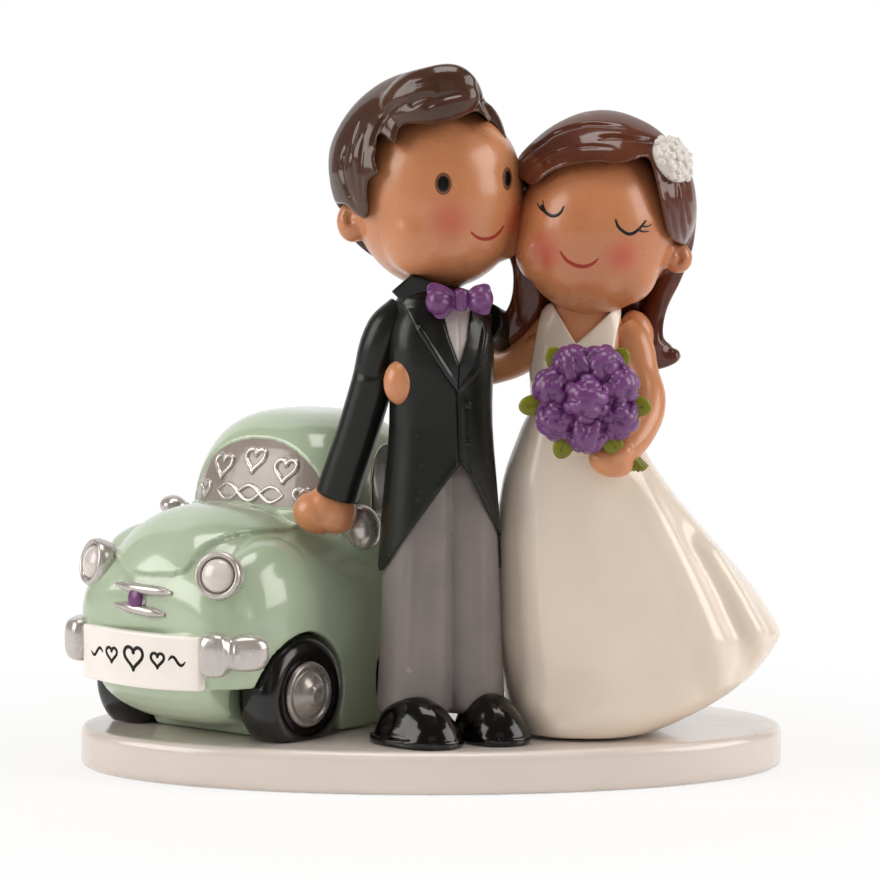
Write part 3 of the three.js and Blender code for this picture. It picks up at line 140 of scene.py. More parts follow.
def boxyBall(place, size, powers, around=64):
    # a ball swollen towards a block, by its own power along each axis
    piece = ball((0, 0, 0), (2, 2, 2), around)
    for corner in piece.data.vertices:
        for axis in range(3):
            share = corner.co[axis] / mm
            corner.co[axis] = (place[axis] + copysign(abs(share) ** (2 / powers[axis]), share) * size[axis] / 2) * mm
    return piece


def block(place, size, turn=(0, 0, 0), corner=0.5):
    clear()
    bpy.ops.mesh.primitive_cube_add(size=mm, location=Vector(place) * mm, rotation=[radians(a) for a in turn])
    bpy.context.object.scale = size
    return edited(settled(bpy.context.object),
                  lambda: bpy.ops.mesh.bevel(offset=corner * mm, segments=3, affect="EDGES"))


def loft(rows, squareness=2.0, around=48, smooth=0):
    # rows of height, middle x and y, width and depth; one section is drawn, then extruded and resized row by row
    clear()
    bpy.ops.mesh.primitive_circle_add(vertices=around, radius=1, fill_type="NGON")
    piece = bpy.context.object
    for corner in piece.data.vertices:
        for axis in range(2):
            corner.co[axis] = copysign(abs(corner.co[axis]) ** (2 / squareness), corner.co[axis])

    def grow():
        up, x, y, width, depth = rows[0]
        bpy.ops.transform.resize(value=(width / 2 * mm, depth / 2 * mm, 1), center_override=(0, 0, 0))
        bpy.ops.transform.translate(value=Vector((x, y, up)) * mm)
        for last, row in zip(rows, rows[1:]):
            step = Vector((row[1] - last[1], row[2] - last[2], row[0] - last[0])) * mm
            bpy.ops.mesh.extrude_region_move(TRANSFORM_OT_translate={"value": step})
            bpy.ops.transform.resize(value=(row[3] / last[3], row[4] / last[4], 1),
                                     center_override=Vector((row[1], row[2], row[0])) * mm)
        bpy.ops.mesh.select_all(action="SELECT")
        faceOut()

    edited(piece, grow)
    if smooth:
        finishWith(piece, "SUBSURF", levels=smooth, render_levels=smooth)
    return piece


def turnedForm(profile, around=48, smooth=1):
    # a round form from how far along its axis each ring lies, and how wide it is
    return loft([(along, 0, 0, width, width) for along, width in profile], around=around, smooth=smooth)


def strand(points, radii, sides=4, closed=False):
    clear()
    bpy.ops.curve.primitive_bezier_curve_add()
    piece = bpy.context.object
    line = piece.data.splines[0]
    line.bezier_points.add(len(points) - 2)
    for knot, place, radius in zip(line.bezier_points, points, radii):
        knot.co = Vector(place) * mm
        knot.radius = radius
        knot.handle_left_type = knot.handle_right_type = "AUTO"
    line.use_cyclic_u = closed
    line.radius_interpolation = "CARDINAL"
    piece.data.dimensions = "3D"
    piece.data.bevel_depth = mm
    piece.data.bevel_resolution = sides
    piece.data.resolution_u = 8
    piece.data.use_fill_caps = True
    only(piece)
    bpy.ops.object.convert(target="MESH")
    return bpy.context.object


def limbThrough(stops, sides=8):
    return strand([spot(*stop[:3]) for stop in stops], [stop[3] for stop in stops], sides)


def prismBetween(near, far):
    # one face drawn through the near places, extruded, and its far side set on the far places
    clear()
    bpy.ops.mesh.primitive_circle_add(vertices=len(near), radius=1, fill_type="NGON")
    piece = bpy.context.object
    for corner, place in zip(piece.data.vertices, near):
        corner.co = Vector(place) * mm
    edited(piece, lambda: bpy.ops.mesh.extrude_region_move(TRANSFORM_OT_translate={"value": (0, mm, 0)}))
    raised = [(Vector(place) + Vector((0, 1, 0))) * mm for place in near]
    for corner in piece.data.vertices:
        gaps = [(corner.co - place).length for place in raised]
        if min(gaps) < 1e-6:
            corner.co = Vector(far[gaps.index(min(gaps))]) * mm
    edited(piece, bpy.ops.mesh.quads_convert_to_tris)
    return edited(piece, faceOut)


def photoPrism(pixels, nearY, farY):
    return prismBetween([spot(u, v, nearY) for u, v in pixels], [spot(u, v, farY) for u, v in pixels])


def eased(outline, rounds=1):
    # a closed outline with every corner cut, once or more
    for _ in range(rounds):
        outline = [(a[0] * near + b[0] * (1 - near), a[1] * near + b[1] * (1 - near))
                   for a, b in zip(outline, outline[1:] + outline[:1]) for near in (0.75, 0.25)]
    return outline


def arch(width, height, sill, steps=20):
    # a flat sill with a half oval over it, in across and up
    return [(-width / 2 * cos(pi * step / steps), sill + height * sin(pi * step / steps)) for step in range(steps + 1)]


def combine(piece, tool, how):
    finishWith(piece, "BOOLEAN", operation=how, object=tool, solver="EXACT")
    bpy.data.objects.remove(tool)
    return piece


def joined(*pieces):
    only(*pieces)
    bpy.ops.object.join()
    return bpy.context.object


def copied(piece):
    only(piece)
    bpy.ops.object.duplicate()
    return bpy.context.object


def melted(pieces, grain, softness):
    # forms run together into one skin of faces as wide as the grain, then smoothed
    piece = finishWith(joined(*pieces), "REMESH", mode="VOXEL", voxel_size=grain * mm)
    return finishWith(piece, "SMOOTH", factor=0.5, iterations=softness)


def fattened(piece, distance):
    return edited(piece, lambda: bpy.ops.transform.shrink_fatten(value=distance * mm))


def cutBelow(piece, height):
    return edited(piece, lambda: bpy.ops.mesh.bisect(
        plane_co=(0, 0, height * mm), plane_no=(0, 0, 1), use_fill=True, clear_inner=True))


def cornersOf(piece, what="co"):
    values = np.empty(len(piece.data.vertices) * 3)
    piece.data.vertices.foreach_get(what, values)
    return values.reshape(-1, 3)


def pressed(piece, paths, width, depth, fade=True):
    # soft grooves along paths in mm, or ridges where the depth is negative
    for path in paths:
        places = cornersOf(piece) / mm
        normals = cornersOf(piece, "normal")
        best = np.full(len(places), 1e9)
        along = np.zeros(len(places))
        steps = len(path) - 1
        for index in range(steps):
            start, end = np.array(path[index]), np.array(path[index + 1])
            share = np.clip(((places - start) @ (end - start)) / max((end - start) @ (end - start), 1e-9), 0, 1)
            gap = np.linalg.norm(places - start - share[:, None] * (end - start), axis=1)
            closer = gap < best
            best[closer] = gap[closer]
            along[closer] = (index + share[closer]) / steps
        near = np.clip(1 - (best / width) ** 2, 0, 1) ** 2
        if fade:
            near *= np.clip(np.minimum(along, 1 - along) * 5 + 0.15, 0, 1)
        places -= normals * (near * depth)[:, None]
        piece.data.vertices.foreach_set("co", (places * mm).ravel())
        piece.data.update()
    return piece


def surfaceOf(piece):
    return BVHTree.FromPolygons([v.co.copy() for v in piece.data.vertices],
                                [tuple(p.vertices) for p in piece.data.polygons])


def seenOn(surface, u, v):
    # where the photograph's view through a pixel meets a surface, in metres
    start = photoView["eye"] * mm
    ray = photoRay(u, v).normalized()
    place, normal, _, _ = surface.ray_cast(start, ray)
    if place is None:
        place, normal, _, _ = surface.find_nearest(start + ray * 1.09)
    return place, normal


def scored(piece, lines, width, depth, surface=None, fade=True):
    # grooves or ridges under lines that are drawn in the photograph's pixels
    surface = surface or surfaceOf(piece)
    paths = [[tuple(seenOn(surface, u, v)[0] / mm) for u, v in line] for line in lines]
    return pressed(piece, paths, width, depth, fade)


def metBy(surface, stops, reach):
    # where level rays meet the surface, each towards its stop's place in mm from its turn's side
    path = []
    for place, turn in stops:
        out = Vector((sin(turn), cos(turn), 0))
        met, _, _, _ = surface.ray_cast((Vector(place) + out * reach) * mm, -out)
        if met is not None:
            path.append(tuple(met / mm))
    return path


def laidOn(piece, surface, rayFrom):
    # a form drawn flat, with its thickness in z, laid on the surface that the rays meet
    for corner in piece.data.vertices:
        across, up, lift = corner.co / mm
        place, normal = rayFrom(surface, across, up)
        corner.co = place + normal * lift * mm
    piece.data.update()
    return edited(piece, faceOut)


def fromPhoto(surface, across, up):
    return seenOn(surface, across, -up)


def fromNose(surface, across, up):
    start = carPlace @ (Vector((across, -70, up)) * mm)
    place, normal, _, _ = surface.ray_cast(start, carPlace.to_3x3() @ Vector((0, 1, 0)))
    if place is None:
        place, normal, _, _ = surface.find_nearest(carPlace @ (Vector((across, -20, up)) * mm))
    return place, normal


def paintedSpot(surface, u, v, width, height, lift):
    return laidOn(ball((u, -v, 0), (width, height, 2 * lift), around=40), surface, fromPhoto)


def paintedLine(surface, pixels, widths, lift):
    line = strand([(u, -v, 0) for u, v in pixels], [width / 2 for width in widths])
    for corner in line.data.vertices:
        corner.co.z *= lift / (max(widths) / 2)
    return laidOn(line, surface, fromPhoto)


def linear(colour):
    channels = [int(colour[i:i + 2], 16) / 255 for i in (0, 2, 4)]
    return [c / 12.92 if c <= 0.04045 else ((c + 0.055) / 1.055) ** 2.4 for c in channels] + [1]


def addNode(tree, kind, inputs={}, **settings):
    node = tree.nodes.new(kind)
    for key, value in settings.items():
        setattr(node, key, value)
    for key, value in inputs.items():
        if hasattr(value, "is_output"):
            tree.links.new(value, node.inputs[key])
        else:
            node.inputs[key].default_value = value
    return node


def noise(tree, where, size, detail):
    # the size is in mm on the real topper; Object coordinates are metres, so the scale is 1000 over it
    return addNode(tree, "ShaderNodeTexNoise", {"Vector": where, "Scale": 1000 / size, "Detail": detail}).outputs["Fac"]


def gapTo(tree, where, middle):
    return addNode(tree, "ShaderNodeVectorMath", {0: where, 1: middle}, operation="DISTANCE").outputs["Value"]


def mixed(tree, share, first, second):
    return addNode(tree, "ShaderNodeMix", {0: share, 6: first, 7: second}, data_type="RGBA").outputs[2]


def ramp(tree, value, stops):
    # eased from the third stop to the fourth while the value goes from the first to the second
    inputs = dict(enumerate((value, *stops)))
    return addNode(tree, "ShaderNodeMapRange", inputs, interpolation_type="SMOOTHSTEP").outputs[0]


def paintedResin(name, colours, roughness, coat, grainSize, coatRoughness=0.12, specular=0.5, metallic=0.0, hollow=0.6,
                 wear=0.5, cloudSize=14, bump=0.12, waves=0.2, vary=0.03, specks=None, patches=()):
    # brush or spray paint over cast stone resin: an even body colour, with painted shade in hollows and a painted
    # highlight on sharp ridges
    body, shade, deep, *ridge = [linear(colour) for colour in colours.split()]
    paint = bpy.data.materials.new(name)
    paint.use_nodes = True
    tree = paint.node_tree
    shader = tree.nodes["Principled BSDF"]
    where = addNode(tree, "ShaderNodeTexCoord").outputs["Object"]
    cloud, grain = noise(tree, where, cloudSize, 3.0), noise(tree, where, grainSize, 2.0)
    bend = addNode(tree, "ShaderNodeNewGeometry").outputs["Pointiness"]
    colour = mixed(tree, ramp(tree, cloud, (0.35, 0.7, 0, 1)), body, shade)
    # painted shade: a darker colour in creases and hollows, where the surface bends inwards
    colour = mixed(tree, ramp(tree, bend, (0.36, 0.475, hollow, 0)), colour, deep)
    # painted highlight: a lighter colour on sharp ridges, where the surface bends outwards
    if ridge:
        colour = mixed(tree, ramp(tree, bend, (0.53, 0.6, 0, wear)), colour, ridge[0])
    for middle, inner, outer, strength, tint in patches:
        near = ramp(tree, gapTo(tree, where, middle), (inner * mm, outer * mm, strength, 0))
        colour = mixed(tree, near, colour, linear(tint))
    if specks:
        # small dark pits, about 11 mm apart
        dots = addNode(tree, "ShaderNodeTexVoronoi", {"Vector": where, "Scale": 1000 / 11}).outputs["Distance"]
        colour = mixed(tree, ramp(tree, dots, (0.02, 0.04, 0.5, 0)), colour, linear(specks))
    tree.links.new(colour, shader.inputs["Base Color"])
    tree.links.new(ramp(tree, grain, (0.3, 0.7, roughness - vary, roughness + vary)), shader.inputs["Roughness"])
    for socket, value in (("Metallic", metallic), ("IOR", 1.5), ("Specular IOR Level", specular),
                          ("Coat Weight", coat), ("Coat Roughness", coatRoughness)):
        shader.inputs[socket].default_value = value
    fine = addNode(tree, "ShaderNodeBump", {"Height": grain, "Strength": bump, "Distance": 0.06 * mm})
    wave = addNode(tree, "ShaderNodeBump", {"Height": cloud, "Strength": waves, "Distance": 0.5 * mm,
                                            "Normal": fine.outputs["Normal"]})
    tree.links.new(wave.outputs["Normal"], shader.inputs["Normal"])
    return paint


# material name, slot, body colour, second shade, colour of the painted shade in hollows and of the painted highlight on
# ridges, roughness, clear coat and grain size in mm; then what isn't usual
# the hair's gloss, with the strength of its painted highlight on ridges and painted shade in hollows
hairGlossAndPaintedLight = dict(specular=0.12, coatRoughness=0.09, bump=0.04, wear=0.2, hollow=0.4, waves=0.12)
looks = {
    "plateWhite": ("offWhiteEnamelOnResin", "plate_white", "E4DAD3 DFD4CD A89A92", 0.22, 0.45, 3.0,
        dict(coatRoughness=0.08, specks="6A5E56", cloudSize=34, bump=0.04, waves=0.1)),
    "mint": ("mintEnamelOnResin", "mint_enamel", "B5C7AD ADBFA4 66795B CEDAC6", 0.2, 0.6, 2.4,
        dict(coatRoughness=0.08, cloudSize=22, wear=0.3)),
    "glassGrey": ("mauveGreyGlossOnResin", "glass_grey", "A0958F 91867F 58504D", 0.22, 0.4, 1.6, {}),
    "glassDark": ("darkGreyGlossOnResin", "glass_dark", "6F6E6C 5C5B59 2E2D2C", 0.18, 0.5, 1.6, {}),
    "silver": ("silverPaintOnResin", "silver_paint", "CEC8C4 C0B9B5 4A4542", 0.26, 0.3, 2.4,
        dict(metallic=0.6, bump=0.05, vary=0.02)),
    # a darker copy of the silver paint, for the hubcaps: painted shade where they sit in the wheel arches
    "dullSilver": ("shadedSilverPaintOnResin", "silver_paint", "A39D99 96908C 3A3533", 0.28, 0.3, 2.4,
        dict(metallic=0.6, bump=0.05, vary=0.02)),
    "lens": ("pearlWhiteGlossLens", "lens_white", "DDD7D4 D2CBC8 9A9490", 0.14, 0.6, 1.8, {}),
    "cream": ("whitePlatePaint", "plate_cream", "FBF6F3 F6F0EC A2968F", 0.32, 0.2, 2.4, dict(bump=0.05)),
    "tyre": ("blackGlossOnResin", "tyre_black", "0F0B0A 0B0807 030202 2C2826", 0.2, 0.25, 1.8,
        dict(specular=0.4, wear=0.2)),
    "violet": ("violetPaintOnResin", "violet_paint", "713C78 64326B 2A1233 8E5E96", 0.34, 0.2, 0.8, {}),
    "red": ("redLampPaint", "lamp_red", "A5302B 8F2521 4A1210", 0.2, 0.5, 1.4, {}),
    "coat": ("blackGreenSatinOnResin", "coat_black", "171A15 121511 050604 353833", 0.36, 0.1, 1.0,
        dict(specular=0.3, wear=0.3)),
    "lapel": ("blackSemiGlossOnResin", "lapel_black", "0D0E0B 0A0B09 030302 34352F", 0.3, 0.15, 1.0,
        dict(specular=0.4, wear=0.35)),
    "trouser": ("greySatinOnResin", "trouser_grey", "7E7674 726B6A 453F3E A19996", 0.38, 0.1, 0.9, {}),
    "shirt": ("lightGreySatinOnResin", "shirt_grey", "C8C0BE BDB4B2 7C7472", 0.4, 0.0, 0.9, {}),
    "shoe": ("patentBlackEnamelOnResin", "shoe_black", "0A0706 070504 020101", 0.14, 0.15, 6.0,
        dict(coatRoughness=0.06, specular=0.35, bump=0.02, vary=0.01, waves=0.06)),
    "brownHair": ("darkBrownGlossOnResin", "brown_hair", "4E2F20 422618 1A0D07 6E4A38", 0.42, 0.8, 2.4, hairGlossAndPaintedLight),
    "chestnut": ("chestnutGlossOnResin", "chestnut_hair", "63301A 532614 220E06 7E4830", 0.42, 0.8, 2.4, hairGlossAndPaintedLight),
    "ivory": ("ivorySemiGlossOnResin", "dress_ivory", "EDE1D3 EADDCE A48D75 F8F0E8", 0.24, 0.35, 3.4,
        dict(coatRoughness=0.1, bump=0.04, waves=0.08, cloudSize=40, hollow=0.25)),
    "pearl": ("pearlWhiteOnResin", "pearl_white", "E2DDD9 D8D2CD A0948C", 0.25, 0.4, 0.8, {}),
    "leaf": ("leafGreenOnResin", "leaf_green", "7E800A 6C6E05 2E3303 9DA02E", 0.32, 0.1, 1.4, dict(specular=0.35)),
    "skin": ("warmSkinPaintOnResin", "skin_paint", "D08E63 CA865B 8A4A2C", 0.32, 0.2, 2.4,
        dict(bump=0.04, waves=0.08, hollow=0.0)),
    "ink": ("fineBlackBrushLine", "tyre_black", "090504 070403 020101", 0.3, 0.05, 0.6, dict(specular=0.25)),
    "iris": ("fineBrownBrushLine", "brown_hair", "7C5038 70462F 1A0D08", 0.3, 0.1, 0.6, dict(specular=0.3)),
    "lips": ("brickRedBrushLine", "skin_paint", "A83428 9C2E22 5A1C14", 0.34, 0.05, 0.6, dict(specular=0.3)),
}
paints = {key: (paintedResin(name, *columns, **look), slot) for key, (name, slot, *columns, look) in looks.items()}


def finished(piece, name, paint, *nodes):
    material, slot = paints[paint] if isinstance(paint, str) else paint
    most = 185000  # triangles, with room under the limit for one piece
    count = sum(len(p.vertices) - 2 for p in piece.data.polygons)
    if count > most + 5000:
        finishWith(piece, "DECIMATE", ratio=most / count)
    only(piece)
    bpy.ops.object.shade_smooth()
    piece.name = piece.data.name = name
    piece.data.materials.clear()
    piece.data.materials.append(material)
    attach(piece, "root")
    if nodes:
        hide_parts(*nodes)
    print("  piece", name, min(count, most), "triangles")


plateOptions = {"length": 160, "depth": 88, "thickness": 9.6, "rimRound": 1.5}


def makePlate(options):
    # a flat-bottomed casting whose rim is rounded over
    rim, rows = options["rimRound"], []
    for step in range(5):
        inset = 2 * rim * (1 - sin(pi / 8 * step))
        rows.append((rim * (1 - cos(pi / 8 * step)), 0, 0, options["length"] - inset, options["depth"] - inset))
    rows += [(options["thickness"] - row[0],) + row[1:] for row in reversed(rows)]
    return melted([loft(rows, around=160)], 0.85, 3)


finished(makePlate(plateOptions), "ovalPlate", "plateWhite", "base_plate")
print("plate made")


carOptions = {
    # length along the nose axis, width, and the lowest and highest points of each section
    "shell": [(24.6, 26, 19, 31), (24.2, 36, 13, 35), (22, 45, 9, 39), (17, 50, 4, 42.2), (9, 52.5, 1.5, 44.4),
        (-2, 53, 0.3, 46), (-14, 53, 0.2, 48), (-34, 53, 0.2, 48.5), (-43, 50.5, 1.2, 46), (-49, 46, 5, 40),
        (-52.4, 38, 10, 34), (-53.4, 24, 15, 28)], "cabinMiddle": (0, 31.8, 43.5), "cabinSize": (51, 45, 53.6),
    "cabinPowers": (3.1, 3.1, 2.15), "hoodSize": (43, 48, 40.8), "hoodPowers": (2.5, 2.2, 2.1),
    "hoodPlace": (0, -1, 29.6), "fenderSize": (18.6, 34.5, 36.6), "fenderPlaces": [(18, -3.5, 26.4), (18, 34, 26.4)],
    "wheelY": (0, 36.8), "wheelRadius": (13.3, 11.2), "wheelRise": 10, "wheelWidth": 12, "wheelInset": 15.6,
    "chinHalfWidth": 16.6, "chinHeight": 12.5, "chinFoot": ((0, 4, 5), (33, 20, 10.4)),
    "sill": ((21.4, 20.4, 8), (8.8, 15.2, 16.4)), "windscreen": (41, 15.8, 49), "sideWindow": (22, 14.6, 48.6),
    "sideWindowY": 36, "rearWindow": (26, 11, 52), "windowDepth": 0.8,
    # the raised middle of the hood, in photograph pixels
    "hoodPanel": [(119, 563), (131, 571), (155, 574), (179, 573), (188, 567), (197, 553), (211, 542), (234, 533),
        (262, 529), (294, 528), (312, 520), (312, 508), (285, 509), (262, 505), (239, 501), (198, 503), (193, 498),
        (156, 504), (118, 512), (110, 530), (113, 550)], "panelRise": 1.1,
    "noseCrease": [[(87, 622), (105, 628), (131, 632), (165, 633), (200, 629)]],
}


def cabinForm(options, offset=0.0):
    size = [side + 2 * offset for side in options["cabinSize"]]
    return boxyBall(options["cabinMiddle"], size, options["cabinPowers"])


def sidePrism(options, extra, side):
    length, height, sill = options["sideWindow"]
    outline = [(y + options["sideWindowY"], z) for y, z in arch(length + 2 * extra, height + extra, sill - extra)]
    return prismBetween([(side * 4, y, z) for y, z in outline], [(side * 60, y, z) for y, z in outline])


def frontPrism(window, extra, fromY, toY):
    width, height, sill = window
    outline = arch(width + 2 * extra, height + extra, sill - extra)
    return prismBetween([(x, fromY, z) for x, z in outline], [(x, toY, z) for x, z in outline])


def windowPrisms(options, extra):
    middle = options["cabinMiddle"][1]
    return {"windscreen": frontPrism(options["windscreen"], extra, middle - 60, middle - 4),
            "rear_window": frontPrism(options["rearWindow"], extra, middle + 4, middle + 60),
            "side_window_left": sidePrism(options, extra, 1), "side_window_right": sidePrism(options, extra, -1)}


def makeShell(options):
    lower = loft([(along, 0, (low + high) / 2, width, high - low) for along, width, low, high in options["shell"]],
                 squareness=2.8, smooth=1)
    forms = [moved(lower, turn=(90, 0, 0)), cabinForm(options),
             boxyBall(options["hoodPlace"], options["hoodSize"], options["hoodPowers"])]
    forms += [ball((side * x, y, z), options["fenderSize"]) for side, _ in sides for x, y, z in options["fenderPlaces"]]
    (x, y, z), size = options["sill"]
    forms += [block((side * x, y, z), size, corner=1.2) for side, _ in sides]
    forms.append(block(*options["chinFoot"], corner=1.4))
    shell = melted(forms, 0.75, 10)
    panel = copied(shell)
    for window, tool in windowPrisms(options, 0.25).items():
        combine(tool, cabinForm(options, -options["windowDepth"]), "DIFFERENCE")
        combine(shell, tool, "DIFFERENCE")
    for side, _ in sides:
        for y, radius in zip(options["wheelY"], options["wheelRadius"]):
            reach = 2 * (radius + 0.6)
            well = turnedForm([(0, reach), (30, reach)], around=64, smooth=0)
            place = (side * (options["wheelInset"] - 0.8), y, options["wheelRise"])
            combine(shell, moved(well, place, (0, side * 90, 0)), "DIFFERENCE")
        place = (side * (options["chinHalfWidth"] + 20), -20, 0)
        combine(shell, block(place, (40, 40, 2 * options["chinHeight"]), corner=1.5), "DIFFERENCE")
    putIn(shell, carPlace)
    putIn(panel, carPlace)
    fattened(panel, options["panelRise"])
    finishWith(panel, "SMOOTH", factor=0.5, iterations=6)
    combine(panel, photoPrism(eased(options["hoodPanel"]), -60, 13), "INTERSECT")
    return melted([shell, panel], 0.5, 5)


shell = makeShell(carOptions)
shellSurface = surfaceOf(shell)
scored(shell, carOptions["noseCrease"], 1.5, 0.5, shellSurface)
finished(shell, "carShell", "mint", "car_body")


def makePane(options, tool):
    pane = combine(cabinForm(options, -options["windowDepth"] + 0.35), tool, "INTERSECT")
    return putIn(melted([pane], 0.35, 2), carPlace)


for window, tool in windowPrisms(carOptions, -0.05).items():
    pane = makePane(carOptions, tool)
    if window == "windscreen":
        windscreenSurface = surfaceOf(pane)
    finished(pane, window + "Pane", "glassGrey" if window == "windscreen" else "glassDark", window)

reliefOptions = {
    "heartSize": 5.6, "cord": 0.6, "hearts": [(-9.4, 58.2), (0, 60), (9.4, 58.2)],
    "lowHearts": [(-14.6, 52.6, 0.66), (14.6, 52.6, 0.66)], "scrollY": 52.4, "scrollReach": 10,
}


def heartLine(x, y, size, steps=18):
    points = []
    for step in range(steps):
        t = 2 * pi * step / steps
        points.append((x + 16 * sin(t) ** 3 / 32 * size,
                       y + (13 * cos(t) - 5 * cos(2 * t) - 2 * cos(3 * t) - cos(4 * t)) / 32 * size, 0))
    return points


def makeRelief(options, surface):
    cord, reach = options["cord"], options["scrollReach"]
    lines = [heartLine(x, y, options["heartSize"]) for x, y in options["hearts"]]
    lines += [heartLine(x, y, options["heartSize"] * share) for x, y, share in options["lowHearts"]]
    cords = [strand(line, [cord] * len(line), closed=True) for line in lines]
    for flip in (1, -1):
        wave = [(-reach + 2 * reach * step / 24, options["scrollY"] + flip * 1.7 * sin(3 * pi * step / 24), 0)
                for step in range(25)]
        cords.append(strand(wave, [cord * (0.5 + 0.5 * sin(pi * step / 24)) for step in range(25)]))
    return laidOn(joined(*cords), surface, fromNose)


finished(makeRelief(reliefOptions, windscreenSurface), "windscreenHearts", "silver")
print("car shell and windows made")

wheelOptions = {
    "tyre": [(-6, 9.6), (-5.9, 19), (-4.4, 22.6), (-2.6, 24), (2.6, 24), (4.4, 23.2), (5.6, 20.6), (6, 17.6),
        (5.7, 15.6), (5.2, 15.2), (5.0, 6)],
    "cap": [(4.6, 15), (5.7, 15), (6.3, 14.2), (6.5, 12.6), (5.9, 11.4), (5.9, 10.6), (6.7, 9.6), (7.5, 7),
        (7.9, 4.6), (8.7, 4.2), (8.8, 3.4), (8.6, 2.0), (8.6, 0.6)],
}


def makeWheelForm(profile, side, place):
    return putIn(moved(turnedForm(profile), place, (0, side * 90, 0)), carPlace)


for side, label in sides:
    for y, radius, end in zip(carOptions["wheelY"], carOptions["wheelRadius"], ("front", "rear")):
        middle = (side * (carOptions["wheelInset"] + carOptions["wheelWidth"] / 2), y, carOptions["wheelRise"])
        profile = [(along, width * radius / 12 if width > 15.4 else width) for along, width in wheelOptions["tyre"]]
        # the hubcaps take the darker copy of the silver paint, as painted shade
        for kind, paint, form in (("tyre", "tyre", cutBelow(makeWheelForm(profile, side, middle), 9.9)),
                                  ("hubcap", "dullSilver", makeWheelForm(wheelOptions["cap"], side, middle))):
            node = "%s_%s_%s" % (kind, end, label)
            finished(form, node + "_form", paint, node)

lampOptions = {
    "place": (19, -20.6, 38), "toeOut": 22, "tiltUp": 12,
    "bezel": [(-4.6, 9.8), (-2, 10.7), (-0.4, 11.2), (0.7, 10.8), (1.3, 9.8), (1.2, 8.9), (0.5, 8), (-0.4, 7.5),
        (-1, 7.3)], "lens": [(-1.2, 7.7), (0.4, 7.8), (1.1, 6.9), (1.7, 5), (2, 2.6), (2.1, 0.8)],
}


def lampForm(options, part, side):
    x, y, z = options["place"]
    aim = (Matrix.Translation(Vector((side * x, y, z)) * mm)
           @ Matrix.Rotation(radians(side * options["toeOut"]), 4, "Z")
           @ Matrix.Rotation(radians(90 - options["tiltUp"]), 4, "X"))
    return putIn(putIn(turnedForm(options[part]), aim), carPlace)


for side, label in sides:
    for part, name, paint in (("bezel", "headlampRing_", "silver"), ("lens", "headlampLens_", "lens")):
        finished(lampForm(lampOptions, part, side), name + label, paint, "headlamp_%s_%s" % (part, label))

plateSignOptions = {
    "width": 35.6, "height": 12, "thickness": 2.4, "bow": 2.3, "drop": 0.5, "place": (-0.7, -26, 18.5),
    "marks": (-0.7, 18.9), "curlRadii": [0.16, 0.3, 0.36, 0.36, 0.36, 0.36, 0.34, 0.28, 0.14],
}


def makeSign(options):
    sign = block((0, 0, 0), (options["width"], options["thickness"], options["height"]), corner=0.55)
    edited(sign, lambda: bpy.ops.mesh.subdivide(number_cuts=14))
    for corner in sign.data.vertices:
        share = corner.co.x / mm / (options["width"] / 2)
        corner.co.y += options["bow"] * share ** 2 * mm
        if corner.co.z < 0:
            corner.co.z -= options["drop"] * (1 - share ** 2) * mm
    return putIn(moved(sign, options["place"]), carPlace)


def makeSignMarks(options, surface):
    # three hearts between two small curls, in thin raised ink
    x, y = options["marks"]
    lines = [strand(heartLine(x, y, 5.6), [0.42] * 18, closed=True)]
    for side, _ in sides:
        lines.append(strand(heartLine(side * 7 + x, y, 3.6), [0.36] * 18, closed=True))
        lines.append(strand([(side * (10 + 4.4 * i / 8) + x, y + 0.9 * sin(pi * i / 4), 0) for i in range(9)],
                            options["curlRadii"]))
    marks = joined(*lines)
    for corner in marks.data.vertices:
        corner.co.z *= 0.4
    return laidOn(marks, surface, fromNose)


sign = makeSign(plateSignOptions)
signSurface = surfaceOf(sign)
finished(sign, "numberPlateBlank", "cream", "number_plate")
finished(makeSignMarks(plateSignOptions, signSurface), "plateHearts", "ink")

bumperOptions = {
    # place, size, turn and powers of the two swellings at each end of the number plate
    "guard": ((20.6, -22.4, 20.6), (7.0, 6.6, 10), 20, (3.2, 3.2, 3.2)),
    "end": ((25.4, -17.4, 20.9), (10, 6, 8.2), 52, (2.6, 2.6, 2.8)),
    "ribs": [(22.6, -20.6, 20.7, 8.6), (24.2, -19.2, 20.8, 7.6)], "shift": 0.9,
}


def makeBumper(options, side):
    forms = []
    for name in ("guard", "end"):
        (x, y, z), size, turn, powers = options[name]
        form = boxyBall((0, 0, 0), size, powers, around=48)
        forms.append(moved(form, (side * x - options["shift"], y, z), (0, 0, side * turn)))
    forms += [ball((side * x - options["shift"], y, z), (2.6, 6.4, height), turn=(0, 0, side * 36))
              for x, y, z, height in options["ribs"]]
    return putIn(melted(forms, 0.28, 10), carPlace)


for side, label in sides:
    finished(makeBumper(bumperOptions, side), "bumperEnd_" + label, "silver", "front_bumper_" + label)

badgeOptions = {
    # across the nose, up, and how far it stands out; then how thick it is there
    "bars": [[(-8.6, 34.2, 0.1), (-5, 34, 0.3), (0, 33.8, 0.4), (5, 33.7, 0.3), (8.3, 33.5, 0.1)], [(-8.6, 29.8, 0.1),
        (-5, 29.6, 0.3), (0, 29.2, 0.4), (3.6, 28.9, 0.3), (6.6, 28.6, 0.1)]], "radii": [0.5, 1.05, 1.15, 1.05, 0.5],
    "oval": (-1.5, 31.6), "seatSize": (5.2, 6, 1.6), "stoneSize": (4.2, 4.9, 1.8), "stoneLift": 0.8,
}


def makeBadge(options, surface):
    seat = ball((*options["oval"], 0), options["seatSize"])
    return laidOn(joined(seat, *[strand(bar, options["radii"]) for bar in options["bars"]]), surface, fromNose)


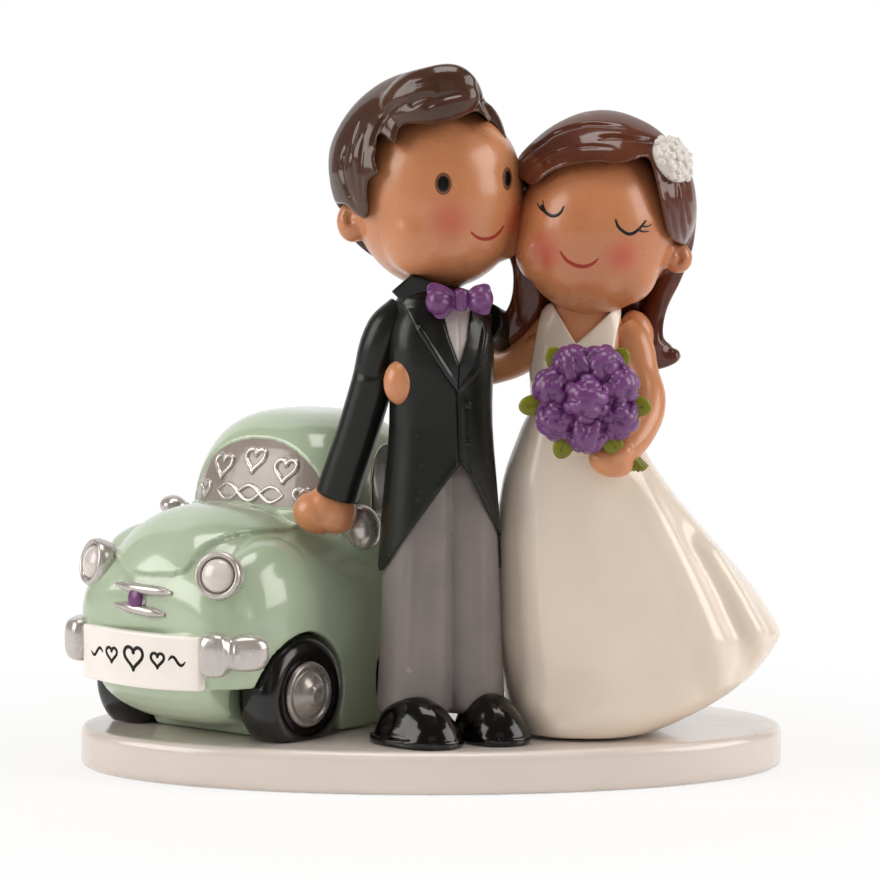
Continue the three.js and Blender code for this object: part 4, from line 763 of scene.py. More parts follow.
finished(makeBadge(badgeOptions, shellSurface), "noseBars", "silver", "badge_trim")
stone = ball((*badgeOptions["oval"], badgeOptions["stoneLift"]), badgeOptions["stoneSize"], around=40)
finished(laidOn(stone, shellSurface, fromNose), "noseOval", "violet", "badge_stone")

mirrorOptions = {
    # pixel and depth of each mirror, its size and turn, then its foot
    "left": ((362, 527, -9.4), (8.8, 7, 10.6), (0, -14, -20), (352, 532, -9.4)),
    "right": ((173, 505, 16.6), (6.4, 5.6, 4.6), (0, 0, -30), (182, 509, 16)),
}


def makeMirror(place, size, turn, foot):
    back = ball(spot(*place), size, turn=turn)
    lip = ball(spot(*place) + Vector((0, -0.2, 0)), (size[0] * 0.82, size[1] * 1.08, size[2] * 0.8), turn=turn)
    return melted([back, lip, ball(spot(*foot), (5, 5, 3.8))], 0.25, 3)


for label in ("left", "right"):
    finished(makeMirror(*mirrorOptions[label]), "doorMirror_" + label, "silver", "door_mirror_" + label)

rearOptions = {
    "bumperY": 53.8, "bumperZ": 17.5, "bumperRadii": [2.4, 2.9, 3, 3, 3, 3, 3, 3, 3, 2.9, 2.4],
    "lampPlace": (16, 52.4, 29), "lamp": [(-3, 5.6), (0, 5.8), (0.8, 4.8), (1.4, 2.4), (1.5, 0.6)],
}


def makeRearBar(options):
    bar = strand([(x, options["bumperY"] - 0.006 * x * x, options["bumperZ"]) for x in range(-20, 21, 4)],
                 options["bumperRadii"])
    return putIn(melted([bar], 0.3, 4), carPlace)


def makeTailLamp(options, side):
    x, y, z = options["lampPlace"]
    return putIn(moved(turnedForm(options["lamp"], around=32), (side * x, y, z), (-90, 0, 0)), carPlace)


finished(makeRearBar(rearOptions), "rearBar", "silver", "rear_bumper")
for side, label in sides:
    finished(makeTailLamp(rearOptions, side), "tailLamp_%s_form" % label, "red", "tail_lamp_" + label)
print("car trim made")

shoeOptions = {"length": 23, "width": 14.6, "height": 10.4, "spread": 8.7, "forward": 8, "turns": (6, 26)}


def makeShoe(options, side):
    width, length, height = options["width"], options["length"], options["height"]
    upper = cutBelow(ball((0, 0, 0), (width, length, 2 * height)), 0)
    toe = cutBelow(ball((0, -length * 0.2, 0), (width * 0.98, length * 0.62, height * 1.5)), 0)
    sole = loft([(rise, 0, 0, width + 0.8, length + 0.8) for rise in (0, 1.5)], squareness=2.3)
    shoe = melted([melted([upper, toe], 0.35, 18), sole], 0.3, 3)
    place = (side * options["spread"], -options["forward"], 0)
    return putIn(moved(shoe, place, (0, 0, options["turns"][0 if side > 0 else 1])), groomPlace)


for side, label in sides:
    finished(makeShoe(shoeOptions, side), "shoe_%s_form" % label, "shoe", "shoe_" + label)

trouserOptions = {
    # height, distance off the middle, width and depth of one leg
    "leg": [(5.2, 6.3, 15.6, 16.6), (6.4, 6.3, 16.4, 17.3), (9.2, 6.25, 16.4, 17.4), (19.8, 5.9, 15.6, 17.2),
        (36.3, 5.66, 15, 16.8), (52.8, 4.96, 14.7, 16.8), (66, 3.5, 12.5, 14.6)],
    # where a soft crease stands on each leg, in pixels
    "creases": [[(418, 540), (414, 600), (411, 660), (410, 690)], [(480, 540), (482, 600), (482, 660), (482, 690)]],
}


def makeTrousers(options):
    legs = [loft([(z, side * x, 0, width, depth) for z, x, width, depth in options["leg"]],
                 squareness=2.3, around=40, smooth=1) for side, _ in sides]
    trousers = putIn(melted(legs, 0.5, 4), groomPlace)
    return scored(trousers, options["creases"], 2.2, -0.5)


finished(makeTrousers(trouserOptions), "trouserLegs", "trouser", "trousers")

coatOptions = {
    # height, middle x and y, width and depth
    "trunk": [(35.6, 0, 0.4, 27.6, 21.4), (37, 0, 0.4, 28.2, 21.8), (43.2, 0, 0.4, 27.6, 21.4),
        (59.5, 0, 0.2, 24.9, 19.3), (70.3, 0, 0, 22.7, 18), (79.7, 0, 0, 23.2, 18), (87.9, 0, 0, 24.4, 18),
        (93.6, 0, 0.2, 22.4, 15.4), (97.2, 0, 0.4, 17, 12.4), (99.4, 0, 0.4, 11, 9)],
    "cutaway": [(461, 463), (449, 479), (436, 497), (420, 519), (400, 545), (385, 566), (374, 580), (350, 620),
        (350, 660), (560, 660), (560, 600), (499, 534), (488, 512), (474, 482)], "neck": ((0, 1.6, 97), (20, 16, 8)),
    "cutDepth": -17.5, "opening": [[(459, 393), (460, 425), (461, 461)]],
    "edges": [[(463, 396), (464, 425), (465, 462)], [(436, 492), (448, 476), (459, 462)], [(470, 470), (482, 494),
        (494, 520)]], "buttons": [(468, 405, 8.4, 9, 0.7), (468, 443, 8.4, 9, 0.7)],
}


def makeCoatBase(options):
    trunk = loft(options["trunk"], squareness=2.4, smooth=1)
    return putIn(melted([trunk, ball(*options["neck"])], 0.5, 6), groomPlace)


def makeTailcoat(base, options):
    tailcoat = combine(copied(base), photoPrism(options["cutaway"], -60, options["cutDepth"]), "DIFFERENCE")
    tailcoat = melted([tailcoat], 0.4, 2)
    surface = surfaceOf(tailcoat)
    scored(tailcoat, options["opening"], 0.9, 0.5, surface, fade=False)
    scored(tailcoat, options["edges"], 1.0, -0.35, surface)
    return joined(tailcoat, *[paintedSpot(surface, *button) for button in options["buttons"]])


coatBase = makeCoatBase(coatOptions)
finished(makeTailcoat(coatBase, coatOptions), "tailcoatBody", "coat", "tailcoat")

lapelOptions = {
    "thickness": 1.0,
    "collar": [(391.5, 291.5), (400, 284), (411, 275), (432, 281), (446, 290), (446, 316), (434, 326), (418, 318),
        (403, 303)],
    "left": [(393, 290), (411, 276), (430, 280), (441, 312), (449, 340), (459, 366), (459, 394), (440, 366),
        (420, 334), (404, 306)],
    "right": [(470, 312), (476, 300), (491, 300), (493, 318), (488, 345), (482, 368), (472, 383), (459, 394),
        (459, 366), (467, 340)],
    "shirt": [(440, 296), (476, 296), (471, 318), (468, 340), (459.5, 366), (449, 338), (444, 318)],
    "collarDepths": (-26, -21.4), "shirtThickness": 0.45, "placket": [[(458, 318), (459, 340), (459, 360)]],
    "rolls": [[(398, 298), (420, 330), (440, 362), (457, 389)], [(484, 322), (482, 345), (477, 368), (463, 388)]],
}


def makeLayer(base, pixels, thickness):
    # a thin layer on the coat's front, inside an outline in the photograph's pixels
    layer = combine(fattened(copied(base), thickness), photoPrism(pixels, -60, -19), "INTERSECT")
    return melted([layer], 0.24, 3)


def makeLapels(base, options):
    lapels = joined(*[makeLayer(base, options[name], options["thickness"]) for name in ("left", "right")])
    scored(lapels, options["rolls"], 0.9, -0.45)
    flap = photoPrism(options["collar"], *options["collarDepths"])
    return joined(lapels, melted([flap], 0.24, 4))


finished(makeLapels(coatBase, lapelOptions), "coatLapels", "lapel", "coat_collar")
shirtFront = makeLayer(coatBase, lapelOptions["shirt"], lapelOptions["shirtThickness"])
finished(scored(shirtFront, lapelOptions["placket"], 0.6, 0.25), "shirtVee", "shirt", "shirt_front")
bpy.data.objects.remove(coatBase)

bowOptions = {
    "depth": -29.2, "leftPillow": (439, 301, -29.6), "rightPillow": (480, 299, -29.0),
    "left": [(457, 294), (448, 287), (436, 282), (428, 283), (426, 290), (429, 299), (431, 308), (434, 317),
        (441, 320.5), (448, 316), (454, 309), (457, 306)],
    "right": [(464, 294), (472, 288), (482, 283), (490, 284), (491.5, 293), (490.5, 304), (491, 313), (484, 316),
        (475, 312), (468, 307), (464, 305)],
    "folds": [[(435, 299), (445, 300), (455, 300)], [(486, 298), (477, 299), (467, 299)], [(442, 289), (449, 294),
        (455, 298)], [(443, 313), (450, 307), (455, 303)]], "pillowSize": (6, 7, 6.4), "knot": (460.5, 300, -30.1),
    "knotSize": (2.9, 3.4, 5.0),
    "knotFolds": [[(457, 293), (457.5, 300), (457, 307)], [(463, 293), (463, 300), (463, 307)]],
}


def makeBow(options):
    wings = []
    for name in ("left", "right"):
        wings.append(photoPrism(eased(options[name], 2), options["depth"] - 1.5, options["depth"] + 2.2))
        wings.append(ball(spot(*options[name + "Pillow"]), options["pillowSize"]))
    return scored(melted(wings, 0.22, 14), options["folds"], 0.7, 0.28)


def makeKnot(options):
    knot = block(spot(*options["knot"]), options["knotSize"], turn=(0, 0, 18), corner=1.1)
    return scored(melted([knot], 0.16, 4), options["knotFolds"], 0.4, 0.18)


finished(makeBow(bowOptions), "bowWings", "violet", "bow_tie")
finished(makeKnot(bowOptions), "bowKnot", "violet", "bow_tie_knot")

armOptions = {
    # pixel, depth and radius along each sleeve
    "near": [(404, 306, -19, 3.4), (388, 330, -19.4, 4.9), (372, 385, -18, 4.8), (357, 435, -16.6, 4.8),
        (342, 480, -15, 4.9), (337, 496, -14.4, 5.0)],
    "far": [(484, 322, -14, 4.6), (505, 332, -5, 4.8), (545, 335, -1.5, 4.8), (590, 332, -1, 4.7),
        (628, 330, -5, 4.4)], "folds": [[(356, 372), (372, 376), (388, 372)], [(398, 330), (390, 356), (384, 376)]],
    # forms of the near hand: pixel and depth, size, and turn about the view
    "farHand": [((637, 333, -9), (7.6, 7.4, 10.6), -18)],
    "hand": [((317, 512.5, -13.4), (11, 9.8, 9.8), 14), ((327, 508, -13.6), (10.6, 9.8, 10.4), 0), ((336, 512, -14),
        (9.6, 9.4, 10), 0), ((333, 523, -15.4), (8, 6, 4.2), 12)],
}

nearSleeve = scored(melted([limbThrough(armOptions["near"])], 0.35, 5), armOptions["folds"], 1.6, 0.35)
finished(nearSleeve, "sleeveNear", "coat", "sleeve_right")
finished(melted([limbThrough(armOptions["far"])], 0.4, 4), "sleeveFar", "coat", "sleeve_left")
hand = [ball(spot(*place), size, turn=(0, turn, 0)) for place, size, turn in armOptions["hand"]]
finished(melted(hand, 0.3, 16), "groomHandNear", "skin", "groom_hand_right")
print("groom's body made")

# forms of a head: place, size and sides; then the ear on the near side, in pixels and depth
groomFaceOptions = {
    "forms": [((0, 0, 0), (38.6, 39, 42), 64), ((0, -2.6, -7.2), (31, 30, 24), 48), ((0, -1, 4), (37.4, 36.6, 33)),
        ((11.4, -5.6, -7), (13.4, 17, 19)), ((-11.4, -5.6, -7), (13.4, 17, 19)), ((18.9, 5, -4.6), (6.4, 6.6, 9))],
    "neck": ([(0, 0, -12), (-3, 3, -25.4)], [4.8, 4.8]), "ear": (353, 221.5, -17), "earSize": (7.4, 6.6, 9.4),
    "earFold": [[(352, 210), (349, 217), (351, 226)]], "foldSize": (1.6, 1.0), "skin": "CC895F C8845A 8A4A2C",
    "blush": [(450, 221, 7.2), (515, 219, 6)], "blushColour": "BE4A30",
    "rims": [(443.3, 183.8, 17, 22.5, 0.1), (507.2, 178.5, 10, 23.5, 0.1)],
    "eyes": [(443.3, 183.8, 12.4, 16.6, 0.22), (507.4, 178.4, 6.8, 16.4, 0.22)],
    "mouth": ([(471, 232), (477, 237), (485.5, 239), (495, 236), (504, 226)], [2.2, 3.2, 3.8, 3.2, 2.0]),
}


def makeHead(options, place):
    forms = [ball(*form) for form in options["forms"]]
    if "neck" in options:
        forms.append(strand(*options["neck"]))
    head = putIn(melted(forms, 0.6, 26), place)
    return melted([head, ball(spot(*options["ear"]), options["earSize"])], 0.5, 8)


def finishHead(options, who, place):
    # the head in skin paint with a soft round blush on each cheek; gives the surface that the features lie on
    head = makeHead(options, place)
    skin = surfaceOf(head)
    scored(head, options["earFold"], *options["foldSize"], skin)
    patches = [(tuple(seenOn(skin, u, v)[0]), 0.5, reach, 0.7, options["blushColour"])
               for u, v, reach in options["blush"]]
    paint = paintedResin(who + "FacePaintOnResin", options["skin"], 0.3, 0.25, 2.4, bump=0.04, waves=0.08, hollow=0.0,
                         patches=patches)
    finished(head, who + "HeadForm", (paint, "skin_paint"), who + "_head")
    return skin


groomSkin = finishHead(groomFaceOptions, "groom", groomHeadPlace)
for part, name, paint in (("rims", "groomEyeRims", "iris"), ("eyes", "groomEyes", "ink")):
    finished(joined(*[paintedSpot(groomSkin, *dot) for dot in groomFaceOptions[part]]), name, paint)
finished(paintedLine(groomSkin, *groomFaceOptions["mouth"], 0.12), "groomMouth", "lips")

groomHairOptions = {
    # the outline of all the hair and the edge of the face inside it, in photograph pixels
    "outline": [(346, 214), (336, 206), (330, 187), (327.5, 159), (332, 138), (347, 112), (365, 93), (389, 77),
        (418, 69), (445.6, 62.5), (462, 65.5), (475, 76), (482, 90), (484, 101), (493, 106), (502, 121), (507.5, 141),
        (511, 170), (508, 205), (500, 235), (480, 258), (440, 268), (400, 272), (384, 266), (366, 259), (351, 243),
        (346, 228)],
    "opening": [(331, 204), (345, 203), (353, 212), (366, 221), (369, 212), (367.5, 196), (367.5, 179), (380, 174),
        (374, 161), (377.5, 142), (379, 131), (388, 139), (396, 147), (396.5, 136), (401, 125), (412, 124),
        (436, 125.5), (458, 118.5), (474, 111), (480, 112.5), (488, 120), (497, 130), (504, 141), (512, 158),
        (560, 170), (560, 330), (331, 330)],
    "rightStrip": [(478, 99), (530, 96), (530, 190), (505, 190), (500, 150), (492, 125), (484, 110)],
    "cap": ((432, 170, -11.5), (48, 46, 46.6)), "softness": 9,
    # pixel, depth and radius along each lock
    "locks": [[(396, 112, -24, 5.0), (415, 98, -27, 6.0), (440, 88, -29.4, 6.2), (462, 86, -30, 5.0),
        (474, 90, -30, 3.2)], [(400, 118, -28, 3.0), (425, 109, -31.2, 4.0), (450, 103, -32.6, 4.0),
        (467, 97, -32, 3.6), (477, 95, -31, 2.2)], [(378, 126, -24.5, 3.0), (371, 143, -25, 3.8),
        (362, 168, -24, 4.0), (360, 192, -22, 3.4), (366, 214, -21, 1.6)]], "groove": (1.25, 0.55),
    "behind": ((0, -10), range(-70, 81, 25), 150, 118, 0.4),
    "grooves": [[(424, 109), (431, 102), (436, 99), (446, 96), (455, 94), (471, 92)], [(408, 107), (414, 102),
        (424, 98), (436, 96)], [(398, 103), (388, 112), (381, 122), (376, 134), (372, 148)], [(347, 143), (343, 158),
        (341, 170), (344, 182), (348, 193), (355, 205)]],
    "scratches": [[(406, 87), (418, 84), (433, 80), (448, 77)], [(398, 118), (396, 130), (395, 142)], [(362, 118),
        (354, 140), (352, 164), (356, 190)], [(368, 126), (362, 150), (361, 176), (364, 202)], [(460, 108),
        (446, 113), (430, 117)]],
}


def makeHair(options):
    # a cap with locks and a fall, cut to the outline and round the face, then grooved, at last down the back
    fall = [loft(options["curtain"], squareness=2.4, smooth=1)] if "curtain" in options else []
    locks = [limbThrough(lock, sides=6) for lock in options["locks"]]
    place, size = options["cap"]
    hair = melted([ball(spot(*place), size, around=64)] + fall + locks, 0.55, options["softness"])
    combine(hair, photoPrism(eased(options["outline"], 3), -90, 60), "INTERSECT")
    combine(hair, photoPrism(eased(options["opening"]), -90, -12), "DIFFERENCE")
    if "rightStrip" in options:
        combine(hair, photoPrism(options["rightStrip"], -90, -18.6), "DIFFERENCE")
    hair = melted([hair], 0.42, 10)
    surface = surfaceOf(hair)
    scored(hair, options["grooves"], *options["groove"], surface)
    scored(hair, options["scratches"], 0.8, 0.22, surface)
    (x, y), angles, top, bottom, depth = options["behind"]
    surface = surfaceOf(hair)
    for angle in angles:
        path = metBy(surface, [((x, y, top + (bottom - top) * step / 8), radians(angle + 7 * sin(step * 0.9 + angle)))
                               for step in range(9)], 60)
        if len(path) > 2:
            pressed(hair, [path], 1.3, depth)
    return hair


finished(makeHair(groomHairOptions), "groomHairForm", "brownHair", "groom_hair")
print("groom's head made")

brideFaceOptions = {
    "forms": [((0, 0, 0), (35.4, 36, 39.4), 64), ((0, -2.4, -7.6), (29, 27, 21), 48), ((10, -5.4, -7),
        (12.6, 15, 16)), ((-10, -5.4, -7), (12.6, 15, 16)), ((-17.3, 0.6, -3.6), (4.6, 6, 6.6))],
    "ear": (678, 258, -15.5), "earSize": (6.6, 5.4, 7), "earFold": [[(677, 250), (681, 258), (676, 266)]],
    "foldSize": (1.2, 0.8), "skin": "C58157 C07B52 85462A", "blush": [(545, 251, 6.2), (622, 257, 6.2)],
    "blushColour": "BE442E",
    "lashes": [([(541, 205), (543.5, 210), (548, 214), (554, 216), (560, 213), (564, 206)],
        [2.2, 3.0, 3.2, 3.2, 2.8, 1.6]), ([(537, 203), (541, 209), (545.5, 212.5)], [1.2, 1.8, 2.2]), ([(543, 200.5),
        (543.5, 206), (545.5, 211)], [1.0, 1.6, 2.0]), ([(615.5, 219), (618, 226), (623, 231), (630, 234), (638, 230),
        (646, 220.5)], [1.6, 2.8, 3.2, 3.4, 3.0, 2.0]), ([(638, 229.5), (643, 231.5), (649, 231)], [2.4, 2.0, 1.2]),
        ([(642, 226), (647, 226.5), (651.5, 224.5)], [2.2, 1.8, 1.0])],
    "mouth": ([(560, 251), (564, 257.5), (569, 262), (581, 266.5), (592, 264), (598.5, 258.5)],
        [1.8, 3.0, 3.6, 3.8, 3.2, 1.8]),
}

brideSkin = finishHead(brideFaceOptions, "bride", brideHeadPlace)
finished(joined(*[paintedLine(brideSkin, *lash, 0.14) for lash in brideFaceOptions["lashes"]]), "brideLashes", "ink")
finished(paintedLine(brideSkin, *brideFaceOptions["mouth"], 0.12), "brideMouth", "lips")

brideHairOptions = {
    "outline": [(518, 180), (514, 163), (524, 149), (544, 131), (560, 121), (578, 113), (594, 110), (608, 109.5),
        (624, 112.5), (638, 118), (652, 125), (666, 136), (684, 158), (694, 179), (697.5, 207), (696, 228),
        (693, 250), (681, 281), (670, 301), (664.5, 316), (662, 337), (668, 343), (676, 346), (682, 352), (680, 361),
        (666, 368), (651, 371), (636, 364), (600, 352), (560, 350), (520, 354), (488, 352), (487, 334), (489, 321),
        (501, 319), (512, 301), (514, 271), (507, 253), (505, 235), (508, 200)],
    "opening": [(510, 182), (520, 178), (530, 186), (537, 183.5), (545, 176.5), (553, 171), (574, 164), (596, 162),
        (619, 164), (637, 159), (648, 156), (653, 168), (657, 186), (663, 214), (667, 236), (680, 245), (694, 249),
        (692, 274), (680, 284), (666, 296), (655, 330), (520, 330), (517, 300), (512, 250)],
    "cap": ((603, 200, -11.5), (42.8, 43, 41.6)), "softness": 6,
    "locks": [[(680, 190, -12, 4.6), (686, 220, -9, 4.8), (684, 250, -6, 5.0), (672, 288, -5, 5.0),
        (660, 322, -5, 4.8), (656, 350, -6, 4.6), (668, 358, -7, 3.0), (680, 356, -8, 1.8)], [(524, 240, -8, 4.2),
        (526, 280, -8, 5.0), (518, 312, -8, 5.4), (500, 334, -7, 4.2)], [(540, 270, -5, 5.4), (536, 300, -5, 5.4),
        (524, 330, -5, 5.0), (500, 342, -5, 3.2)]], "groove": (1.15, 0.6),
    "behind": ((38.4, -8), range(-80, 81, 20), 140, 98, 0.45),
    "grooves": [[(521, 162), (531, 151), (544, 141), (553, 134), (565, 129), (577, 126), (589, 124), (606, 125),
        (624, 127)], [(597, 138), (612, 136.5), (628, 138), (642, 139), (655, 141)], [(681, 180), (685, 196),
        (687, 211), (689, 218), (690, 225)], [(676, 172), (679, 200), (682, 226), (684, 240)]],
    "scratches": [[(528, 172), (545, 157), (566, 149), (590, 146), (612, 148)], [(664, 186), (669, 205), (673, 225),
        (676, 240)], [(671, 285), (664, 305), (659, 325), (662, 345)], [(517, 262), (519, 290), (511, 312),
        (500, 326)], [(680, 270), (672, 296), (666, 318), (668, 340), (674, 350)], [(548, 122), (566, 116),
        (590, 114)]],
    "curtain": [(93.6, 41, 1.4, 20, 6.8), (96, 40.6, 1.4, 27, 9.6), (105, 39, 1.4, 33, 12),
        (114.9, 38.4, 0.2, 33, 12), (122, 38.4, -2.2, 28, 12)],
}

brideHair = makeHair(brideHairOptions)
hairSurface = surfaceOf(brideHair)
finished(brideHair, "brideHairForm", "chestnut", "bride_hair")

clipOptions = {
    "middle": (671.5, 160), "domeSize": (11, 11, 5.6), "ring": 4.1, "flowerSize": 4.2, "lift": 1.5, "crown": 3.0,
}


def makeClip(options, surface):
    # six small five-petalled flowers round a seventh, crowded on one dome
    place, normal = seenOn(surface, *options["middle"])
    turn = normal.to_track_quat("Z", "Y")
    ring, size = options["ring"], options["flowerSize"]
    forms = [aimed(ball((0, 0, 0), options["domeSize"]), place, turn)]
    spots = [(0, 0, options["crown"])] + [(cos(pi / 3 * i) * ring, sin(pi / 3 * i) * ring, options["lift"])
                                          for i in range(6)]
    for index, (x, y, lift) in enumerate(spots):
        tilt = (turn.to_matrix() @ Vector((x * 0.16, y * 0.16, 1)).normalized()).to_track_quat("Z", "Y")
        middle = place / mm + turn @ Vector((x, y, lift))
        for petal in range(5):
            angle = 2 * pi * petal / 5 + index
            form = ball((0, 0, 0), (size * 0.5, size * 0.5, 1.5), around=16)
            reach = tilt @ Vector((cos(angle), sin(angle), 0)) * size * 0.34
            forms.append(aimed(form, (middle + reach) * mm, tilt))
        forms.append(ball(middle + tilt @ Vector((0, 0, 0.7)), [size * 0.3] * 3, around=16))
    return melted(forms, 0.15, 1)


finished(makeClip(clipOptions, hairSurface), "pearlFlowers", "pearl", "hair_clip")
print("bride's head made")

brideBodyOptions = {
    "trunk": [(80, 32.8, -13.2, 17, 12), (86, 33, -13.2, 19, 13), (92, 33.2, -13, 20.6, 13),
        (97.5, 33.4, -12.8, 21, 12.2), (101.5, 33.6, -12.6, 19.4, 11), (105, 33.8, -12.5, 16, 9.8),
        (109, 34, -12.4, 11, 8.4)], "shoulders": ((33.4, -12.4, 97.6), (24.4, 10, 8)),
    "bodice": [(73, 32.8, -13.6, 22, 16.6), (74.8, 32.8, -13.6, 21.4, 16), (80.8, 32.8, -13.6, 20.5, 15.7),
        (86.8, 32.9, -13.8, 21.4, 16.6), (91.8, 33, -13.6, 22.3, 15.9), (97, 33.3, -13.0, 22.8, 14.2),
        (101.4, 33.6, -12.7, 21.2, 12.9), (105, 33.8, -12.6, 18.2, 11.6), (107.6, 33.9, -12.5, 14.4, 10)],
    "vee": [(548, 290), (555, 308), (566, 327), (576, 344), (593, 329), (610, 312), (618, 290)],
    "leftOfStrap": [(540, 290), (541, 312), (537, 330), (534, 350), (531, 368), (500, 368), (500, 290)],
    "rightOfStrap": [(622, 290), (621, 316), (616, 338), (613, 360), (612, 372), (660, 372), (660, 290)],
    "nearArm": [(620, 326, -12.6, 3.2), (632, 342, -13, 4.3), (641, 374, -15.4, 4.1), (648, 402, -20, 4.0),
        (640, 430, -25, 3.7), (622, 452, -29, 3.5), (612, 460, -30, 3.2)],
    "farArm": [(552, 330, -11, 4.2), (528, 350, -7, 4.4), (500, 364, -3, 4.2), (450, 372, 0, 4.0),
        (412, 378, -6, 3.6), (400, 382, -20, 3.0)],
    "nearPalm": [((611, 461, -30), (10.2, 7.4, 7.2), 14), ((620, 454, -32), (6, 4, 4), -30)],
    "farPalm": [((400, 382.5, -26.4), (7.4, 7.4, 10), 0)],
}


def makeTrunk(options):
    return melted([loft(options["trunk"], squareness=2.1, smooth=1), ball(*options["shoulders"])], 0.4, 6)


def makeBodice(options):
    bodice = loft(options["bodice"], squareness=2.3, smooth=1)
    for outline in ("vee", "leftOfStrap", "rightOfStrap"):
        combine(bodice, photoPrism(options[outline], -60, 20), "DIFFERENCE")
    return melted([bodice], 0.33, 3)


finished(makeTrunk(brideBodyOptions), "brideTrunk", "skin", "bride_torso")
finished(makeBodice(brideBodyOptions), "bodiceForm", "ivory", "bodice")

skirtOptions = {
    "rows": [(9.9, 34.4, -11.3, 30, 34), (10.2, 34.4, -11.3, 33, 37), (15.1, 39.9, -9.9, 45.8, 42.3),
        (21.8, 44.6, -8.4, 57.4, 44.2), (29.4, 46.4, -8, 64, 45.1), (31.9, 46.7, -8, 66, 45.1),
        (34.4, 45.8, -8.1, 63.6, 44.8), (41.1, 44.1, -8.9, 60, 42.3), (54.5, 38.2, -10.8, 47.9, 34.8),
        (63, 35.2, -11.8, 39.6, 29), (69.4, 33.4, -12.2, 34.2, 25.4), (79.1, 32.6, -13.1, 24.1, 17.9),
        (84.3, 32.6, -13.6, 20.9, 15.5)],
    "valleys": [[(672, 505), (696, 545), (718, 582), (738, 624), (748, 660), (750, 682)]],
    "ridges": [[(636, 476), (662, 528), (686, 580), (706, 630), (719, 674), (726, 702)], [(698, 532), (722, 572),
        (746, 616), (760, 652)]],
    "shallows": [[(566, 470), (566, 540), (572, 620), (580, 720)], [(524, 480), (516, 540), (518, 620), (532, 715)],
        [(610, 500), (622, 560), (640, 640), (652, 720)]],
}


def makeSkirt(options):
    skirt = melted([loft(options["rows"], squareness=2.2, around=72, smooth=1)], 0.6, 4)
    surface = surfaceOf(skirt)
    for lines, width, depth in (("valleys", 5.0, 1.6), ("ridges", 5.0, -1.6), ("shallows", 8.0, 1.0)):
        scored(skirt, options[lines], width, depth, surface)
    skirt = melted([skirt], 0.55, 14)
    # folds behind, where the photograph doesn't show them
    for angle in range(-80, 81, 20):
        path = metBy(surfaceOf(skirt), [((42 - step * 1.2, -9 - step * 0.5, 16 + step * 8.5), radians(angle))
                                        for step in range(8)], 70)
        pressed(skirt, [path], 4.6, 1.0)
    return skirt


finished(makeSkirt(skirtOptions), "skirtForm", "ivory", "skirt")
print("bride's dress made")


def makeArm(stops, palms, grain):
    # palms: pixel and depth, size, and turn about the view
    forms = [limbThrough(stops)] if stops else []
    forms += [ball(spot(*place), size, turn=(0, turn, 0)) for place, size, turn in palms]
    return melted(forms, grain, 6)


finished(makeArm(brideBodyOptions["nearArm"], brideBodyOptions["nearPalm"], 0.33), "brideArmNear", "skin",
         "bride_arm_left")
finished(makeArm(brideBodyOptions["farArm"], brideBodyOptions["farPalm"], 0.36), "brideArmFar", "skin",
         "bride_arm_right")
finished(makeArm([], armOptions["farHand"], 0.3), "groomHandFar", "skin", "groom_hand_left")

bouquetOptions = {
    "blooms": [(587, 399, -37.2), (618, 386, -34.6), (602, 366, -34.2), (573, 366, -34.2), (554, 388, -34.4),
        (557, 419, -35), (587, 432, -35.4), (618, 418, -35)], "behind": (587, 400, -26), "bloomSize": 10,
    "growth": 1.12,
    "leaves": [(557, 361, 120), (534, 405, 190), (564, 444, 250), (612, 442, 300), (636, 406, 350), (618, 362, 60)],
    "core": (587, 402, -29.6), "coreSize": (16, 9, 16), "leafSize": (7, 1.8, 4.8), "leafDepth": -33, "veinReach": 8,
    "stemSpread": 1.8, "stemEnd": (637, 469, -28), "stemStart": (592, 410, -29),
}


def makeBloom(size):
    # a tight round flower: an inner bud and four rings of cupped petals with grooves between them
    forms = [ball((0, 0, 0), (size * 0.84, size * 0.84, size * 0.84), around=24)]
    for count, reach, rise, phase in ((3, 0.13, 0.4, 20), (5, 0.3, 0.28, 0), (6, 0.42, 0.1, 26), (6, 0.44, -0.1, 0)):
        for petal in range(count):
            angle = radians(phase) + 2 * pi * petal / count
            place = Vector((cos(angle) * reach * size, -rise * size, sin(angle) * reach * size))
            form = ball((0, 0, 0), (size * 0.36, size * 0.17, size * 0.28), around=16)
            forms.append(aimed(form, place * mm, place.to_track_quat("-Y", "Z")))
    return melted(forms, size * 0.02, 1)


bloom = makeBloom(bouquetOptions["bloomSize"])
for index, (u, v, y) in enumerate(bouquetOptions["blooms"]):
    middle = spot(u, v, y)
    away = (middle - spot(*bouquetOptions["behind"])).to_track_quat("-Y", "Z").to_matrix()
    flower = copied(bloom)
    flower.scale = [bouquetOptions["growth"] if index == 0 else 1.0] * 3
    aimed(flower, middle * mm, away @ Matrix.Rotation(index * 1.3, 3, "Y"))
    finished(flower, "bloom_%d_form" % (index + 1), "violet", "bloom_%d" % (index + 1))
bpy.data.objects.remove(bloom)


def makeGreenery(options):
    forms = [ball(spot(*options["core"]), options["coreSize"])]
    forms += [moved(ball((0, 0, 0), options["leafSize"], around=24), spot(u, v, options["leafDepth"]), (0, -angle, 0))
              for u, v, angle in options["leaves"]]
    start, end = spot(*options["stemStart"]), spot(*options["stemEnd"])
    for index in range(7):
        angle = 2 * pi * index / 6
        reach = options["stemSpread"] if index < 6 else 0
        offset = Vector((cos(angle) * reach, sin(angle) * reach, 0))
        forms.append(strand([start + offset * 0.4, (start + end) / 2 + offset * 0.6, end + offset], [0.8, 0.8, 1.1], 3))
    green = melted(forms, 0.2, 2)
    veins = []
    for u, v, angle in options["leaves"]:
        du, dv = [options["veinReach"] * part for part in (cos(radians(angle)), -sin(radians(angle)))]
        veins.append([(u - du, v - dv), (u, v), (u + du, v + dv)])
    return scored(green, veins, 0.5, 0.3)


